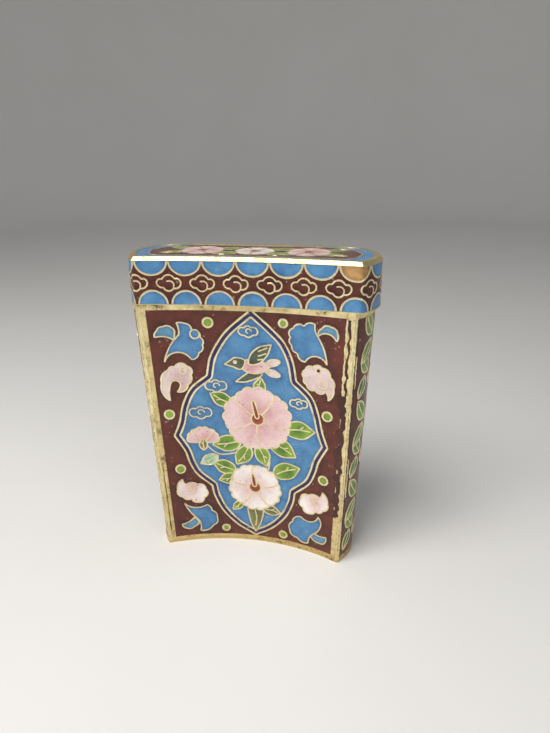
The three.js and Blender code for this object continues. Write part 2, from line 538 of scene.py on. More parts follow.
def moved(line: Points, shift: tuple[float, float] = (0.0, 0.0), turn: float = 0.0, scale: float = 1.0,
          mirrored: bool = False) -> Points:
    """Copy of a line, mirrored in u, scaled, turned by degrees and shifted, in that order.

    Args:
        line: Points of the line.
        shift: Move in u and v.
        turn: Turn in degrees.
        scale: Size factor.
        mirrored: Whether u changes sign first.

    Returns:
        The moved copy.
    """
    copy = line * np.array([-scale if mirrored else scale, scale])
    angle = math.radians(turn)
    u = copy[:, 0] * math.cos(angle) - copy[:, 1] * math.sin(angle)
    v = copy[:, 0] * math.sin(angle) + copy[:, 1] * math.cos(angle)
    return np.column_stack([u + shift[0], v + shift[1]])


def inside(points: Points, polygon: Points) -> Points:
    """Which points lie within a closed polygon.

    Args:
        points: Points, one a row.
        polygon: Corners of the closed outline.

    Returns:
        One truth value for each point.
    """
    result = np.zeros(len(points), dtype=bool)
    low, high = polygon.min(axis=0), polygon.max(axis=0)
    near = np.flatnonzero(np.all((points >= low) & (points <= high), axis=1))
    if not len(near):
        return result
    u, v = points[near, 0], points[near, 1]
    odd = np.zeros(len(near), dtype=bool)
    for (u0, v0), (u1, v1) in zip(polygon, np.roll(polygon, -1, axis=0)):
        if v0 != v1:
            crossing = (v0 > v) != (v1 > v)
            odd ^= crossing & (u < (u1 - u0) * (v - v0) / (v1 - v0) + u0)
    result[near] = odd
    return result


@dataclass
class Motif:
    """One enamel cell and the wire round it, or a bare wire where there is no enamel."""

    line: Points
    enamel: Enamel | None = None
    heart: tuple[float, float] | None = None
    width: float = 0.42
    wired: bool = True


@dataclass
class Design:
    """Motifs in the order in which they are laid, each one covering those before it."""

    ground: Enamel
    motifs: list[Motif] = field(default_factory=list)

    def cell(self, line: Points, enamel: Enamel, heart: tuple[float, float] | None = None,
             width: float = 0.42, wired: bool = True) -> None:
        """Lays a cell of enamel."""
        self.motifs.append(Motif(line, enamel, heart, width, wired))

    def wire(self, line: Points, width: float = 0.36) -> None:
        """Lays a bare wire."""
        self.motifs.append(Motif(line, None, None, width))

    def visible_wires(self) -> list[tuple[Points, float]]:
        """Stretches of wire that no later cell covers.

        Returns:
            Points and width of each stretch.
        """
        wires = []
        for number, motif in enumerate(self.motifs):
            if not motif.wired:
                continue
            shown = np.ones(len(motif.line), dtype=bool)
            for later in self.motifs[number + 1:]:
                if later.enamel is not None:
                    shown &= ~inside(motif.line, later.line)
            edges = np.flatnonzero(np.diff(np.concatenate([[0], shown.astype(int), [0]])))
            for start, end in zip(edges[::2], edges[1::2]):
                if end - start > 3:
                    wires.append((motif.line[start:end], motif.width))
        return wires


# ---------------------------------------------------------------- finishes

Colour = tuple[float, float, float]


class NodeBench:
    """Adds nodes to a tree and joins them up."""

    def __init__(self, tree: bpy.types.NodeTree) -> None:
        """Keeps the tree."""
        self.tree = tree

    def add(self, kind: str, inputs: dict | None = None, **settings: object) -> bpy.types.Node:
        """Adds a node.

        Args:
            kind: Node type.
            inputs: A value or another node's socket for each input, by name or number.
            settings: Attributes of the node.

        Returns:
            The node.
        """
        node = self.tree.nodes.new(kind)
        for name, value in settings.items():
            setattr(node, name, value)
        for name, value in (inputs or {}).items():
            if isinstance(value, bpy.types.NodeSocket):
                self.tree.links.new(value, node.inputs[name])
            elif isinstance(value, tuple) and len(value) == 3 and node.inputs[name].type == "RGBA":
                node.inputs[name].default_value = (*value, 1.0)
            else:
                node.inputs[name].default_value = value
        return node

    def noise(self, place: bpy.types.NodeSocket, scale: float, detail: float = 3.0,
              rough: float = 0.55) -> bpy.types.NodeSocket:
        """Noise between about 0.3 and 0.7."""
        return self.add("ShaderNodeTexNoise", {"Vector": place, "Scale": scale, "Detail": detail,
                                               "Roughness": rough}).outputs["Fac"]

    def ramp(self, value: bpy.types.NodeSocket, low: float, high: float, to_low: float = 0.0,
             to_high: float = 1.0) -> bpy.types.NodeSocket:
        """Value spread from low..high onto another range, held at its ends."""
        return self.add("ShaderNodeMapRange", {"Value": value, "From Min": low, "From Max": high,
                                               "To Min": to_low, "To Max": to_high}).outputs["Result"]

    def math(self, operation: str, a: object, b: object = 0.0, clamp: bool = False) -> bpy.types.NodeSocket:
        """One sum on two values."""
        return self.add("ShaderNodeMath", {0: a, 1: b}, operation=operation, use_clamp=clamp).outputs[0]

    def mix(self, factor: object, a: object, b: object, blend: str = "MIX") -> bpy.types.NodeSocket:
        """Mix of two colours.

        Args:
            factor: Share of the second colour.
            a: First colour.
            b: Second colour.
            blend: Way of mixing.

        Returns:
            Socket with the mixed colour.
        """
        node = self.add("ShaderNodeMix", {}, data_type="RGBA", blend_type=blend)
        for name, value in (("Factor_Float", factor), ("A_Color", a), ("B_Color", b)):
            socket = next(s for s in node.inputs if s.identifier == name)
            if isinstance(value, bpy.types.NodeSocket):
                self.tree.links.new(value, socket)
            else:
                socket.default_value = (*value, 1.0) if isinstance(value, tuple) else value
        return next(s for s in node.outputs if s.identifier == "Result_Color")


def new_group(name: str, inputs: dict[str, tuple[str, object]], outputs: dict[str,
                                                                              str]) -> bpy.types.NodeTree:
    """Makes an empty node group.

    Args:
        name: Name of the group.
        inputs: Socket type and default of each input.
        outputs: Socket type of each output.

    Returns:
        The group's node tree.
    """
    tree = bpy.data.node_groups.new(name, "ShaderNodeTree")
    for label, (kind, default) in inputs.items():
        socket = tree.interface.new_socket(name=label, in_out="INPUT", socket_type=kind)
        socket.default_value = (*default, 1.0) if isinstance(default, tuple) else default
    for label, kind in outputs.items():
        tree.interface.new_socket(name=label, in_out="OUTPUT", socket_type=kind)
    return tree


def enamel_skin_group() -> bpy.types.NodeTree:
    """Mottled, pitted enamel: colour, roughness and height from a light and a deep tone.

    Returns:
        The node group.
    """
    tree = new_group("enamel_skin", {
        "Tone": ("NodeSocketFloat", 0.5), "Light": ("NodeSocketColor", (0.8, 0.8, 0.8)),
        "Deep": ("NodeSocketColor", (0.2, 0.2, 0.2)), "Dust": ("NodeSocketColor", (0.5, 0.45, 0.38)),
        "Pitting": ("NodeSocketFloat", 0.5),
    }, {"Color": "NodeSocketColor", "Roughness": "NodeSocketFloat", "Height": "NodeSocketFloat"})
    bench = NodeBench(tree)
    given = bench.add("NodeGroupInput").outputs
    place = bench.add("ShaderNodeTexCoord").outputs["Object"]
    cloudy = bench.noise(place, 260.0, 4.0, 0.6)
    speckle = bench.noise(place, 1500.0, 3.0, 0.7)
    drift = bench.math("MULTIPLY", bench.ramp(cloudy, 0.3, 0.7, -0.5, 0.5), 0.85)
    grain = bench.math("MULTIPLY", bench.ramp(speckle, 0.3, 0.7, -0.5, 0.5), 0.35)
    tone = bench.math("ADD", bench.math("ADD", given["Tone"], drift), grain, clamp=True)
    colour = bench.mix(tone, given["Deep"], given["Light"])
    cells = bench.add("ShaderNodeTexVoronoi", {"Vector": place, "Scale": 1150.0, "Randomness": 1.0})
    chosen = bench.math("LESS_THAN", bench.add("ShaderNodeSeparateColor", {"Color": cells.outputs["Color"]})
                        .outputs["Red"], bench.math("MULTIPLY", given["Pitting"], 0.42))
    pit = bench.math("MULTIPLY", bench.ramp(cells.outputs["Distance"], 0.12, 0.30, 1.0, 0.0), chosen)
    large = bench.add("ShaderNodeTexVoronoi", {"Vector": place, "Scale": 420.0, "Randomness": 1.0})
    picked = bench.math("LESS_THAN", bench.add("ShaderNodeSeparateColor", {"Color": large.outputs["Color"]})
                        .outputs["Green"], bench.math("MULTIPLY", given["Pitting"], 0.22))
    hollow = bench.math("MULTIPLY", bench.ramp(large.outputs["Distance"], 0.10, 0.20, 1.0, 0.0), picked)
    holes = bench.math("MAXIMUM", pit, hollow)
    dusty = bench.math("MULTIPLY", holes, 0.55)
    film = bench.mix(bench.ramp(cloudy, 0.42, 0.6), (0.05, 0.032, 0.022), given["Dust"])
    colour = bench.mix(dusty, colour, film)
    matt = bench.ramp(bench.noise(place, 90.0, 2.0), 0.35, 0.65, 0.24, 0.46)
    roughness = bench.math("ADD", matt, bench.math("MULTIPLY", holes, 0.35))
    height = bench.math("SUBTRACT", bench.math("MULTIPLY", cloudy, 0.6), bench.math("MULTIPLY", holes, 0.7))
    height = bench.math("ADD", height, bench.math("MULTIPLY", speckle, 0.22))
    bench.add("NodeGroupOutput", {"Color": colour, "Roughness": roughness, "Height": height})
    return tree


def gilt_wear_group() -> bpy.types.NodeTree:
    """Worn gilding: bright metal, dull patches, dark grime in the hollows, and metal that turns darker and
    duller towards the bottom.

    Returns:
        The node group.
    """
    tree = new_group("gilt_wear", {
        "Bright": ("NodeSocketColor", (0.9, 0.7, 0.3)), "Dull": ("NodeSocketColor", (0.5, 0.36, 0.16)),
        "Grime": ("NodeSocketColor", (0.07, 0.045, 0.03)), "Wear": ("NodeSocketFloat", 0.5),
        "Scale": ("NodeSocketFloat", 1.0), "Soil": ("NodeSocketFloat", 0.5),
    }, {"Color": "NodeSocketColor", "Roughness": "NodeSocketFloat", "Metallic": "NodeSocketFloat",
        "Height": "NodeSocketFloat"})
    bench = NodeBench(tree)
    given = bench.add("NodeGroupInput").outputs
    place = bench.add("ShaderNodeTexCoord").outputs["Object"]
    level = bench.add("ShaderNodeSeparateXYZ", {0: place}).outputs["Z"]
    # Darker and duller towards the bottom: below 45 mm the colour is mixed towards the dull one.
    soil = bench.math("MULTIPLY", bench.ramp(level, 0.0, 45.0 * MM, 1.0, 0.0), given["Soil"])
    scaled = bench.add("ShaderNodeVectorMath", {0: place, "Scale": given["Scale"]}, operation="SCALE")
    place = scaled.outputs[0]
    patches = bench.noise(place, 330.0, 5.0, 0.65)
    fine = bench.noise(place, 1900.0, 3.0, 0.7)
    broad = bench.noise(place, 70.0, 3.0, 0.6)
    shade = bench.math("ADD", bench.math("MULTIPLY", patches, 0.6), bench.math("MULTIPLY", broad, 0.4))
    dull = bench.math("MULTIPLY", bench.ramp(shade, 0.40, 0.60), given["Wear"])
    colour = bench.mix(dull, given["Bright"], given["Dull"])
    grit = bench.math("ADD", bench.math("MULTIPLY", patches, 0.55), bench.math("MULTIPLY", fine, 0.45))
    grime = bench.math("MULTIPLY", bench.ramp(grit, 0.53, 0.62), given["Wear"])
    colour = bench.mix(grime, bench.mix(soil, colour, given["Dull"]), given["Grime"])
    sheen = bench.ramp(shade, 0.38, 0.62, 0.26, 0.48)
    roughness = bench.math("ADD", sheen, bench.math("MULTIPLY", grime, 0.3))
    metallic = bench.math("SUBTRACT", 1.0, bench.math("MULTIPLY", grime, 0.85), clamp=True)
    height = bench.math("SUBTRACT", bench.math("MULTIPLY", fine, 0.35), bench.math("MULTIPLY", patches,
                                                                                   0.8))
    bench.add("NodeGroupOutput", {"Color": colour, "Roughness": roughness, "Metallic": metallic,
                                  "Height": height})
    return tree


@dataclass(frozen=True)
class EnamelFinish:
    """Fired and polished enamel of one colour."""

    enamel: Enamel
    pitting: float = 0.55
    relief: float = 0.05

    def material(self, skin: bpy.types.NodeTree) -> bpy.types.Material:
        """Makes the material round the shared skin.

        Args:
            skin: Shared enamel group.

        Returns:
            The material.
        """
        material = bpy.data.materials.new("enamel_" + self.enamel.name.lower())
        material.use_nodes = True
        bench = NodeBench(material.node_tree)
        shader = material.node_tree.nodes["Principled BSDF"]
        tone = bench.add("ShaderNodeAttribute", attribute_name="tone", attribute_type="GEOMETRY")
        group = bench.add("ShaderNodeGroup", node_tree=skin)
        light, deep = self.enamel.value
        material.node_tree.links.new(tone.outputs["Fac"], group.inputs["Tone"])
        group.inputs["Light"].default_value = (*light, 1.0)
        group.inputs["Deep"].default_value = (*deep, 1.0)
        group.inputs["Pitting"].default_value = self.pitting
        bump = bench.add("ShaderNodeBump", {"Height": group.outputs["Height"], "Strength": 0.6,
                                            "Distance": self.relief * MM})
        material.node_tree.links.new(group.outputs["Color"], shader.inputs["Base Color"])
        material.node_tree.links.new(group.outputs["Roughness"], shader.inputs["Roughness"])
        material.node_tree.links.new(bump.outputs["Normal"], shader.inputs["Normal"])
        shader.inputs["Coat Weight"].default_value = 0.35
        shader.inputs["Coat Roughness"].default_value = 0.10
        shader.inputs["Specular IOR Level"].default_value = 0.32
        return material


@dataclass(frozen=True)
class GiltFinish:
    """Gilded copper with its own degree of wear."""

    name: str
    bright: Colour = (1.0, 0.86, 0.48)
    dull: Colour = (0.58, 0.43, 0.18)
    grime: Colour = (0.060, 0.036, 0.024)
    wear: float = 0.6
    scale: float = 1.0
    # How much darker and duller the gilding turns towards the bottom.
    soil: float = 0.7
    relief: float = 0.12
    strength: float = 0.5

    def material(self, wear_group: bpy.types.NodeTree) -> bpy.types.Material:
        """Makes the material round the shared wear.

        Args:
            wear_group: Shared gilding group.

        Returns:
            The material.
        """
        material = bpy.data.materials.new(self.name)
        material.use_nodes = True
        bench = NodeBench(material.node_tree)
        shader = material.node_tree.nodes["Principled BSDF"]
        group = bench.add("ShaderNodeGroup", node_tree=wear_group)
        for label, value in (("Bright", self.bright), ("Dull", self.dull), ("Grime", self.grime)):
            group.inputs[label].default_value = (*value, 1.0)
        group.inputs["Wear"].default_value = self.wear
        group.inputs["Scale"].default_value = self.scale
        group.inputs["Soil"].default_value = self.soil
        bump = bench.add("ShaderNodeBump", {"Height": group.outputs["Height"], "Strength": self.strength,
                                            "Distance": self.relief * MM})
        pairs = (("Color", "Base Color"), ("Roughness", "Roughness"), ("Metallic", "Metallic"))
        for output, socket in pairs:
            material.node_tree.links.new(group.outputs[output], shader.inputs[socket])
        material.node_tree.links.new(bump.outputs["Normal"], shader.inputs["Normal"])
        return material


@dataclass(frozen=True)
class FloorFinish:
    """Pale matt board with a faint mottle."""

    tone: float = 0.80

    def material(self) -> bpy.types.Material:
        """Makes the material.

        Returns:
            The material.
        """
        material = bpy.data.materials.new("pale_board")
        material.use_nodes = True
        bench = NodeBench(material.node_tree)
        place = bench.add("ShaderNodeTexCoord").outputs["Object"]
        mottle = bench.ramp(bench.noise(place, 9.0, 4.0), 0.3, 0.7)
        low = tuple(self.tone * share for share in (0.97, 0.96, 0.94))
        colour = bench.mix(mottle, low, (self.tone, self.tone * 0.995, self.tone * 0.98))
        shader = material.node_tree.nodes["Principled BSDF"]
        material.node_tree.links.new(colour, shader.inputs["Base Color"])
        shader.inputs["Roughness"].default_value = 0.75
        return material


class Finishes:
    """All the finishes, each made once."""

    def __init__(self) -> None:
        """Makes the shared groups."""
        self.skin = enamel_skin_group()
        self.wear = gilt_wear_group()
        self.made: dict[str, bpy.types.Material] = {}

    def enamel(self, enamel: Enamel) -> bpy.types.Material:
        """Material of one enamel colour.

        Args:
            enamel: The colour.

        Returns:
            The material.
        """
        if enamel.name not in self.made:
            self.made[enamel.name] = EnamelFinish(enamel).material(self.skin)
        return self.made[enamel.name]

    def gilt(self, finish: GiltFinish) -> bpy.types.Material:
        """Material of one kind of gilding.

        Args:
            finish: The kind of gilding.

        Returns:
            The material.
        """
        if finish.name not in self.made:
            self.made[finish.name] = finish.material(self.wear)
        return self.made[finish.name]

    def wire(self) -> bpy.types.Material:
        """Material of the wires."""
        return self.gilt(WIRE_FINISH)


WIRE_FINISH = GiltFinish("gilt_wire", bright=(1.0, 0.89, 0.56), dull=(0.72, 0.56, 0.28), wear=0.4,
                         scale=1.4,
                         relief=0.05, strength=0.35)
EDGE_FINISH = GiltFinish("gilt_edges", wear=0.75, relief=0.22, strength=0.8)
SEAM_FINISH = GiltFinish("gilt_seam", bright=(1.0, 0.90, 0.55), dull=(0.70, 0.54, 0.26), wear=0.5,
                         scale=1.3,
                         relief=0.16, strength=0.9)
RIM_FINISH = GiltFinish("gilt_rim", bright=(0.93, 0.78, 0.44), wear=0.4, relief=0.10, strength=0.4)
BASE_FINISH = GiltFinish("gilt_underside", bright=(0.62, 0.46, 0.22), wear=0.9, scale=0.6, relief=0.12)
INNER_FINISH = GiltFinish("gilt_inside", bright=(0.70, 0.52, 0.26), wear=0.7, scale=0.8, relief=0.08)
FINISHES = Finishes()


# ---------------------------------------------------------------- enamel panels

@dataclass(frozen=True)
class Ribbon:
    """Flattened wire or seam that stands a little out of a surface."""

    rise: float = 0.05
    ragged: float = 0.10
    pitch: float = 0.3
    spread: int = 5

    SECTION: ClassVar = ((-0.5, -3.0), (-0.46, 0.35), (-0.22, 1.0), (0.22, 1.0), (0.46, 0.35), (0.5, -3.0))

    def add(self, parts: MeshParts, surface: Surface, line: Points, width: float,
            noise: np.random.Generator) -> None:
        """Adds one wire along a line on a surface.

        Args:
            parts: Where the wire goes.
            surface: Surface that it lies on.
            line: Places along it.
            width: Its width.
            noise: Source of its unevenness.
        """
        total = lengths_along(line)[-1]
        if total < 0.4:
            return
        line = points_at(line, np.linspace(0.0, total, max(int(total / self.pitch), 2) + 1))
        count = len(line)
        knots = np.arange(0, count + self.spread + 1, self.spread)
        wander = np.interp(np.arange(count), knots, np.clip(noise.normal(0.0, 1.0, len(knots)), -1.6, 1.6))
        base = surface.place(line)
        normal = surface.normals(line)
        tangent = np.gradient(base, axis=0)
        if np.linalg.norm(base[0] - base[-1]) < 0.05:
            tangent[0] = tangent[-1] = base[1] - base[-2]
        tangent /= np.linalg.norm(tangent, axis=1)[:, None] + 1e-9
        side = np.cross(normal, tangent)
        widths = width * (1 + self.ragged * wander)[:, None]
        heights = (self.rise * (1 + 0.3 * np.clip(wander[::-1], -1.5, 1.2)))[:, None]
        sway = side * (width * self.ragged * 0.8 * np.roll(wander, 2))[:, None] * (self.ragged > 0.15)
        depth = min(self.rise, 0.05)
        rows = [base + sway + side * widths * across + normal * up * (heights if up > 0 else depth)
                for across, up in self.SECTION]
        sides = len(self.SECTION)
        faces = []
        for i in range(count - 1):
            low, high = i * sides, (i + 1) * sides
            faces.extend([[low + k, low + (k + 1) % sides, high + (k + 1) % sides,
                           high + k] for k in range(sides)])
        faces.append(list(reversed(range(sides))))
        faces.append([(count - 1) * sides + k for k in range(sides)])
        parts.add(np.stack(rows, axis=1).reshape(-1, 3), faces)


WIRE = Ribbon()


@dataclass
class Field:
    """Rows of v, the lowest and highest u on each, and how finely they are divided."""

    rows: Points
    low: Points
    high: Points
    columns: int
    closed: bool = False


@dataclass
class EnamelPanel:
    """Sheet of enamel cells on a surface, and its wires as a second piece."""

    name: str
    surface: Surface
    design: Design
    area: Field
    replaced: str
    slot: str
    offset: tuple[float, float, float]
    thickness: float = 0.55
    sink: float = 0.06
    seed: int = 1
    wire_slot: str = "gilt_metal"

    BLOCK = 8
    UNDER_WIRES = -0.11

    def __post_init__(self) -> None:
        """Works out how many corners a row has."""
        self.stride = self.area.columns + (0 if self.area.closed else 1)

    def _grid(self) -> Points:
        """Places of the sheet's corners, row by row.

        Returns:
            Places of the corners.
        """
        t = np.arange(self.stride) / self.area.columns
        u = self.area.low[:, None] * (1 - t) + self.area.high[:, None] * t
        return np.column_stack([u.ravel(), np.repeat(self.area.rows, self.stride)])

    def _centres(self) -> Points:
        """Middles of the sheet's faces, row by row.

        Returns:
            Places of the middles.
        """
        t = (np.arange(self.area.columns) + 0.5) / self.area.columns
        sides = (self.area.low, self.area.high, self.area.rows)
        low, high, rows = ((side[1:] + side[:-1]) / 2 for side in sides)
        u = low[:, None] * (1 - t) + high[:, None] * t
        return np.column_stack([u.ravel(), np.repeat(rows, self.area.columns)])

    def _number(self, row: int, column: int) -> int:
        """Number of a corner of the grid."""
        return row * self.stride + column % self.stride if self.area.closed else row * self.stride + column

    def _back_faces(self, last: int) -> list[list[int]]:
        """Coarse faces behind the sheet, through the numbers of the corners in front of them.

        Args:
            last: Number of the last row.

        Returns:
            Corner numbers of each face.
        """
        faces = []
        for row in range(0, last, self.BLOCK):
            for column in range(0, self.area.columns, self.BLOCK):
                top, right = row + self.BLOCK, column + self.BLOCK
                ends = not self.area.closed
                spots = [(row, c) for c in (range(column, right) if row == 0 else [column])]
                spots += [(r, right) for r in (range(row,
                                                     top) if ends and right == self.area.columns else [row])]
                spots += [(top, c) for c in (range(right, column, -1) if top == last else [right])]
                spots += [(r, column) for r in (range(top, row, -1) if ends and column == 0 else [top])]
                faces.append([self._number(*spot) for spot in reversed(spots)])
        return faces

    def _border(self, last: int) -> list[list[int]]:
        """Loops of corners round the edge of the sheet, running anticlockwise seen from outside.

        Args:
            last: Number of the last row.

        Returns:
            Corner numbers of each loop.
        """
        columns = self.area.columns
        if self.area.closed:
            foot = [self._number(0, c) for c in range(columns)]
            head = [self._number(last, c) for c in range(columns, 0, -1)]
            return [foot, head]
        spots = [(0, c) for c in range(columns)] + [(r, columns) for r in range(last)]
        spots += [(last, c) for c in range(columns, 0, -1)] + [(r, 0) for r in range(last, 0, -1)]
        return [[self._number(*spot) for spot in spots]]

    def _sheet(self, wires: list[tuple[Points, float]]) -> bpy.types.Object:
        """Builds the enamel, sunk a little between the wires.

        Args:
            wires: Points and width of each wire.

        Returns:
            The sheet.
        """
        grid = self._grid()
        last = len(self.area.rows) - 1
        marks = np.vstack([line for line, _ in wires])
        tree = KDTree(len(marks))
        for number, (u, v) in enumerate(marks):
            tree.insert((u, v, 0.0), number)
        tree.balance()
        gap = np.array([tree.find((u, v, 0.0))[2] for u, v in grid])
        dip = np.clip(gap / 0.9, 0.0, 1.0)
        dip = dip * dip * (3 - 2 * dip)
        noise = np.random.default_rng(self.seed)
        uneven = noise.normal(0.0, 0.006, len(grid))
        front = self.surface.place(grid, self.UNDER_WIRES + 0.01 - self.sink * dip + uneven)
        back_faces = self._back_faces(last)
        used = sorted({number for face in back_faces for number in face})
        twin = {number: len(grid) + i for i, number in enumerate(used)}
        back = self.surface.place(grid[used], -self.thickness)
        faces = [[self._number(r, c), self._number(r, c + 1), self._number(r + 1, c + 1),
                  self._number(r + 1, c)]
                 for r in range(last) for c in range(self.area.columns)]
        shown = len(faces)
        for loop in self._border(last):
            faces.extend([[b, a, twin[a], twin[b]] for a, b in zip(loop, loop[1:] + loop[:1])])
        faces.extend([[twin[number] for number in face] for face in back_faces])
        parts = MeshParts()
        parts.add(np.vstack([front, back]), faces)
        item = parts.build(self.name, self.offset)
        self._colour(item, grid, gap, shown)
        return item

    def _colour(self, item: bpy.types.Object, grid: Points, gap: Points, shown: int) -> None:
        """Gives each face its enamel, and each corner its tone.

        Args:
            item: The sheet.
            grid: Places of its corners.
            gap: Distance from each corner to the nearest wire.
            shown: Number of faces in front.
        """
        centres = self._centres()
        colour = np.full(len(item.data.polygons), ENAMELS.index(self.design.ground))
        tone = np.zeros(len(item.data.vertices))
        tone[:len(grid)] = np.clip(gap / 1.8, 0.0, 1.0) * 0.6 + 0.2
        for motif in self.design.motifs:
            if motif.enamel is None:
                continue
            colour[:shown][inside(centres, motif.line)] = ENAMELS.index(motif.enamel)
            held = np.flatnonzero(inside(grid, motif.line))
            if motif.heart is not None and len(held):
                reach = np.linalg.norm(grid[held] - np.array(motif.heart), axis=1)
                tone[held] = np.clip(1.15 * reach / max(float(reach.max()), 0.1) - 0.1, 0.0, 1.0)
            else:
                tone[held] = np.clip(gap[held] / 1.2, 0.0, 1.0) * 0.5 + 0.3
        order = sorted(set(colour.tolist()))
        for number in order:
            item.data.materials.append(FINISHES.enamel(ENAMELS[number]))
        item.data.polygons.foreach_set("material_index", np.searchsorted(order, colour).astype(np.int32))
        attribute = item.data.attributes.new("tone", "FLOAT", "POINT")
        attribute.data.foreach_set("value", tone.astype(np.float32))
        smooth(item)

    def _on_panel(self, line: Points) -> list[Points]:
        """Stretches of a wire that stay on the panel.

        Args:
            line: Points of the line.

        Returns:
            The stretches.
        """
        rows, low, high = self.area.rows, self.area.low, self.area.high
        fits = (line[:, 1] >= rows[0]) & (line[:, 1] <= rows[-1])
        fits &= line[:, 0] >= np.interp(line[:, 1], rows, low)
        fits &= line[:, 0] <= np.interp(line[:, 1], rows, high)
        ends = np.flatnonzero(np.diff(np.concatenate([[0], fits.astype(int), [0]])))
        return [line[a:b] for a, b in zip(ends[::2], ends[1::2]) if b - a > 2]

    def build(self) -> None:
        """Builds the sheet and its wires."""
        wires = self.design.visible_wires()
        sheet = self._sheet(wires)
        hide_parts(self.replaced)
        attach(sheet, "root")
        noise = np.random.default_rng(self.seed + 100)
        parts = MeshParts()
        raised = LiftedSurface(self.surface, self.UNDER_WIRES)
        for line, width in wires:
            for stretch in self._on_panel(line):
                WIRE.add(parts, raised, stretch, width, noise)
        wired = parts.build(self.name + "_wires", self.offset)
        wired.data.materials.append(FINISHES.wire())
        smooth(wired, 60.0)
        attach(wired, "root")
        LOG.info("%s: %d motifs, %d faces, wires %d faces", self.name, len(self.design.motifs),
                 len(sheet.data.polygons), len(wired.data.polygons))


@dataclass
class LiftedSurface:
    """Surface moved out or in by a lift."""

    surface: Surface
    lift: float

    def normals(self, uv: Points) -> Points:
        """Outward normals."""
        return self.surface.normals(uv)

    def place(self, uv: Points, lift: Points | float = 0.0) -> Points:
        """Points on the surface."""
        return self.surface.place(uv, self.lift + lift)


# ---------------------------------------------------------------- pictures

def both_ways(points: Curve, middle: float = 0.0) -> Curve:
    """Outline whose right half is given from the top down, closed by its mirror image."""
    left = [(2 * middle - u, v) for u, v in reversed(points) if abs(u - middle) > 1e-6]
    return points + left


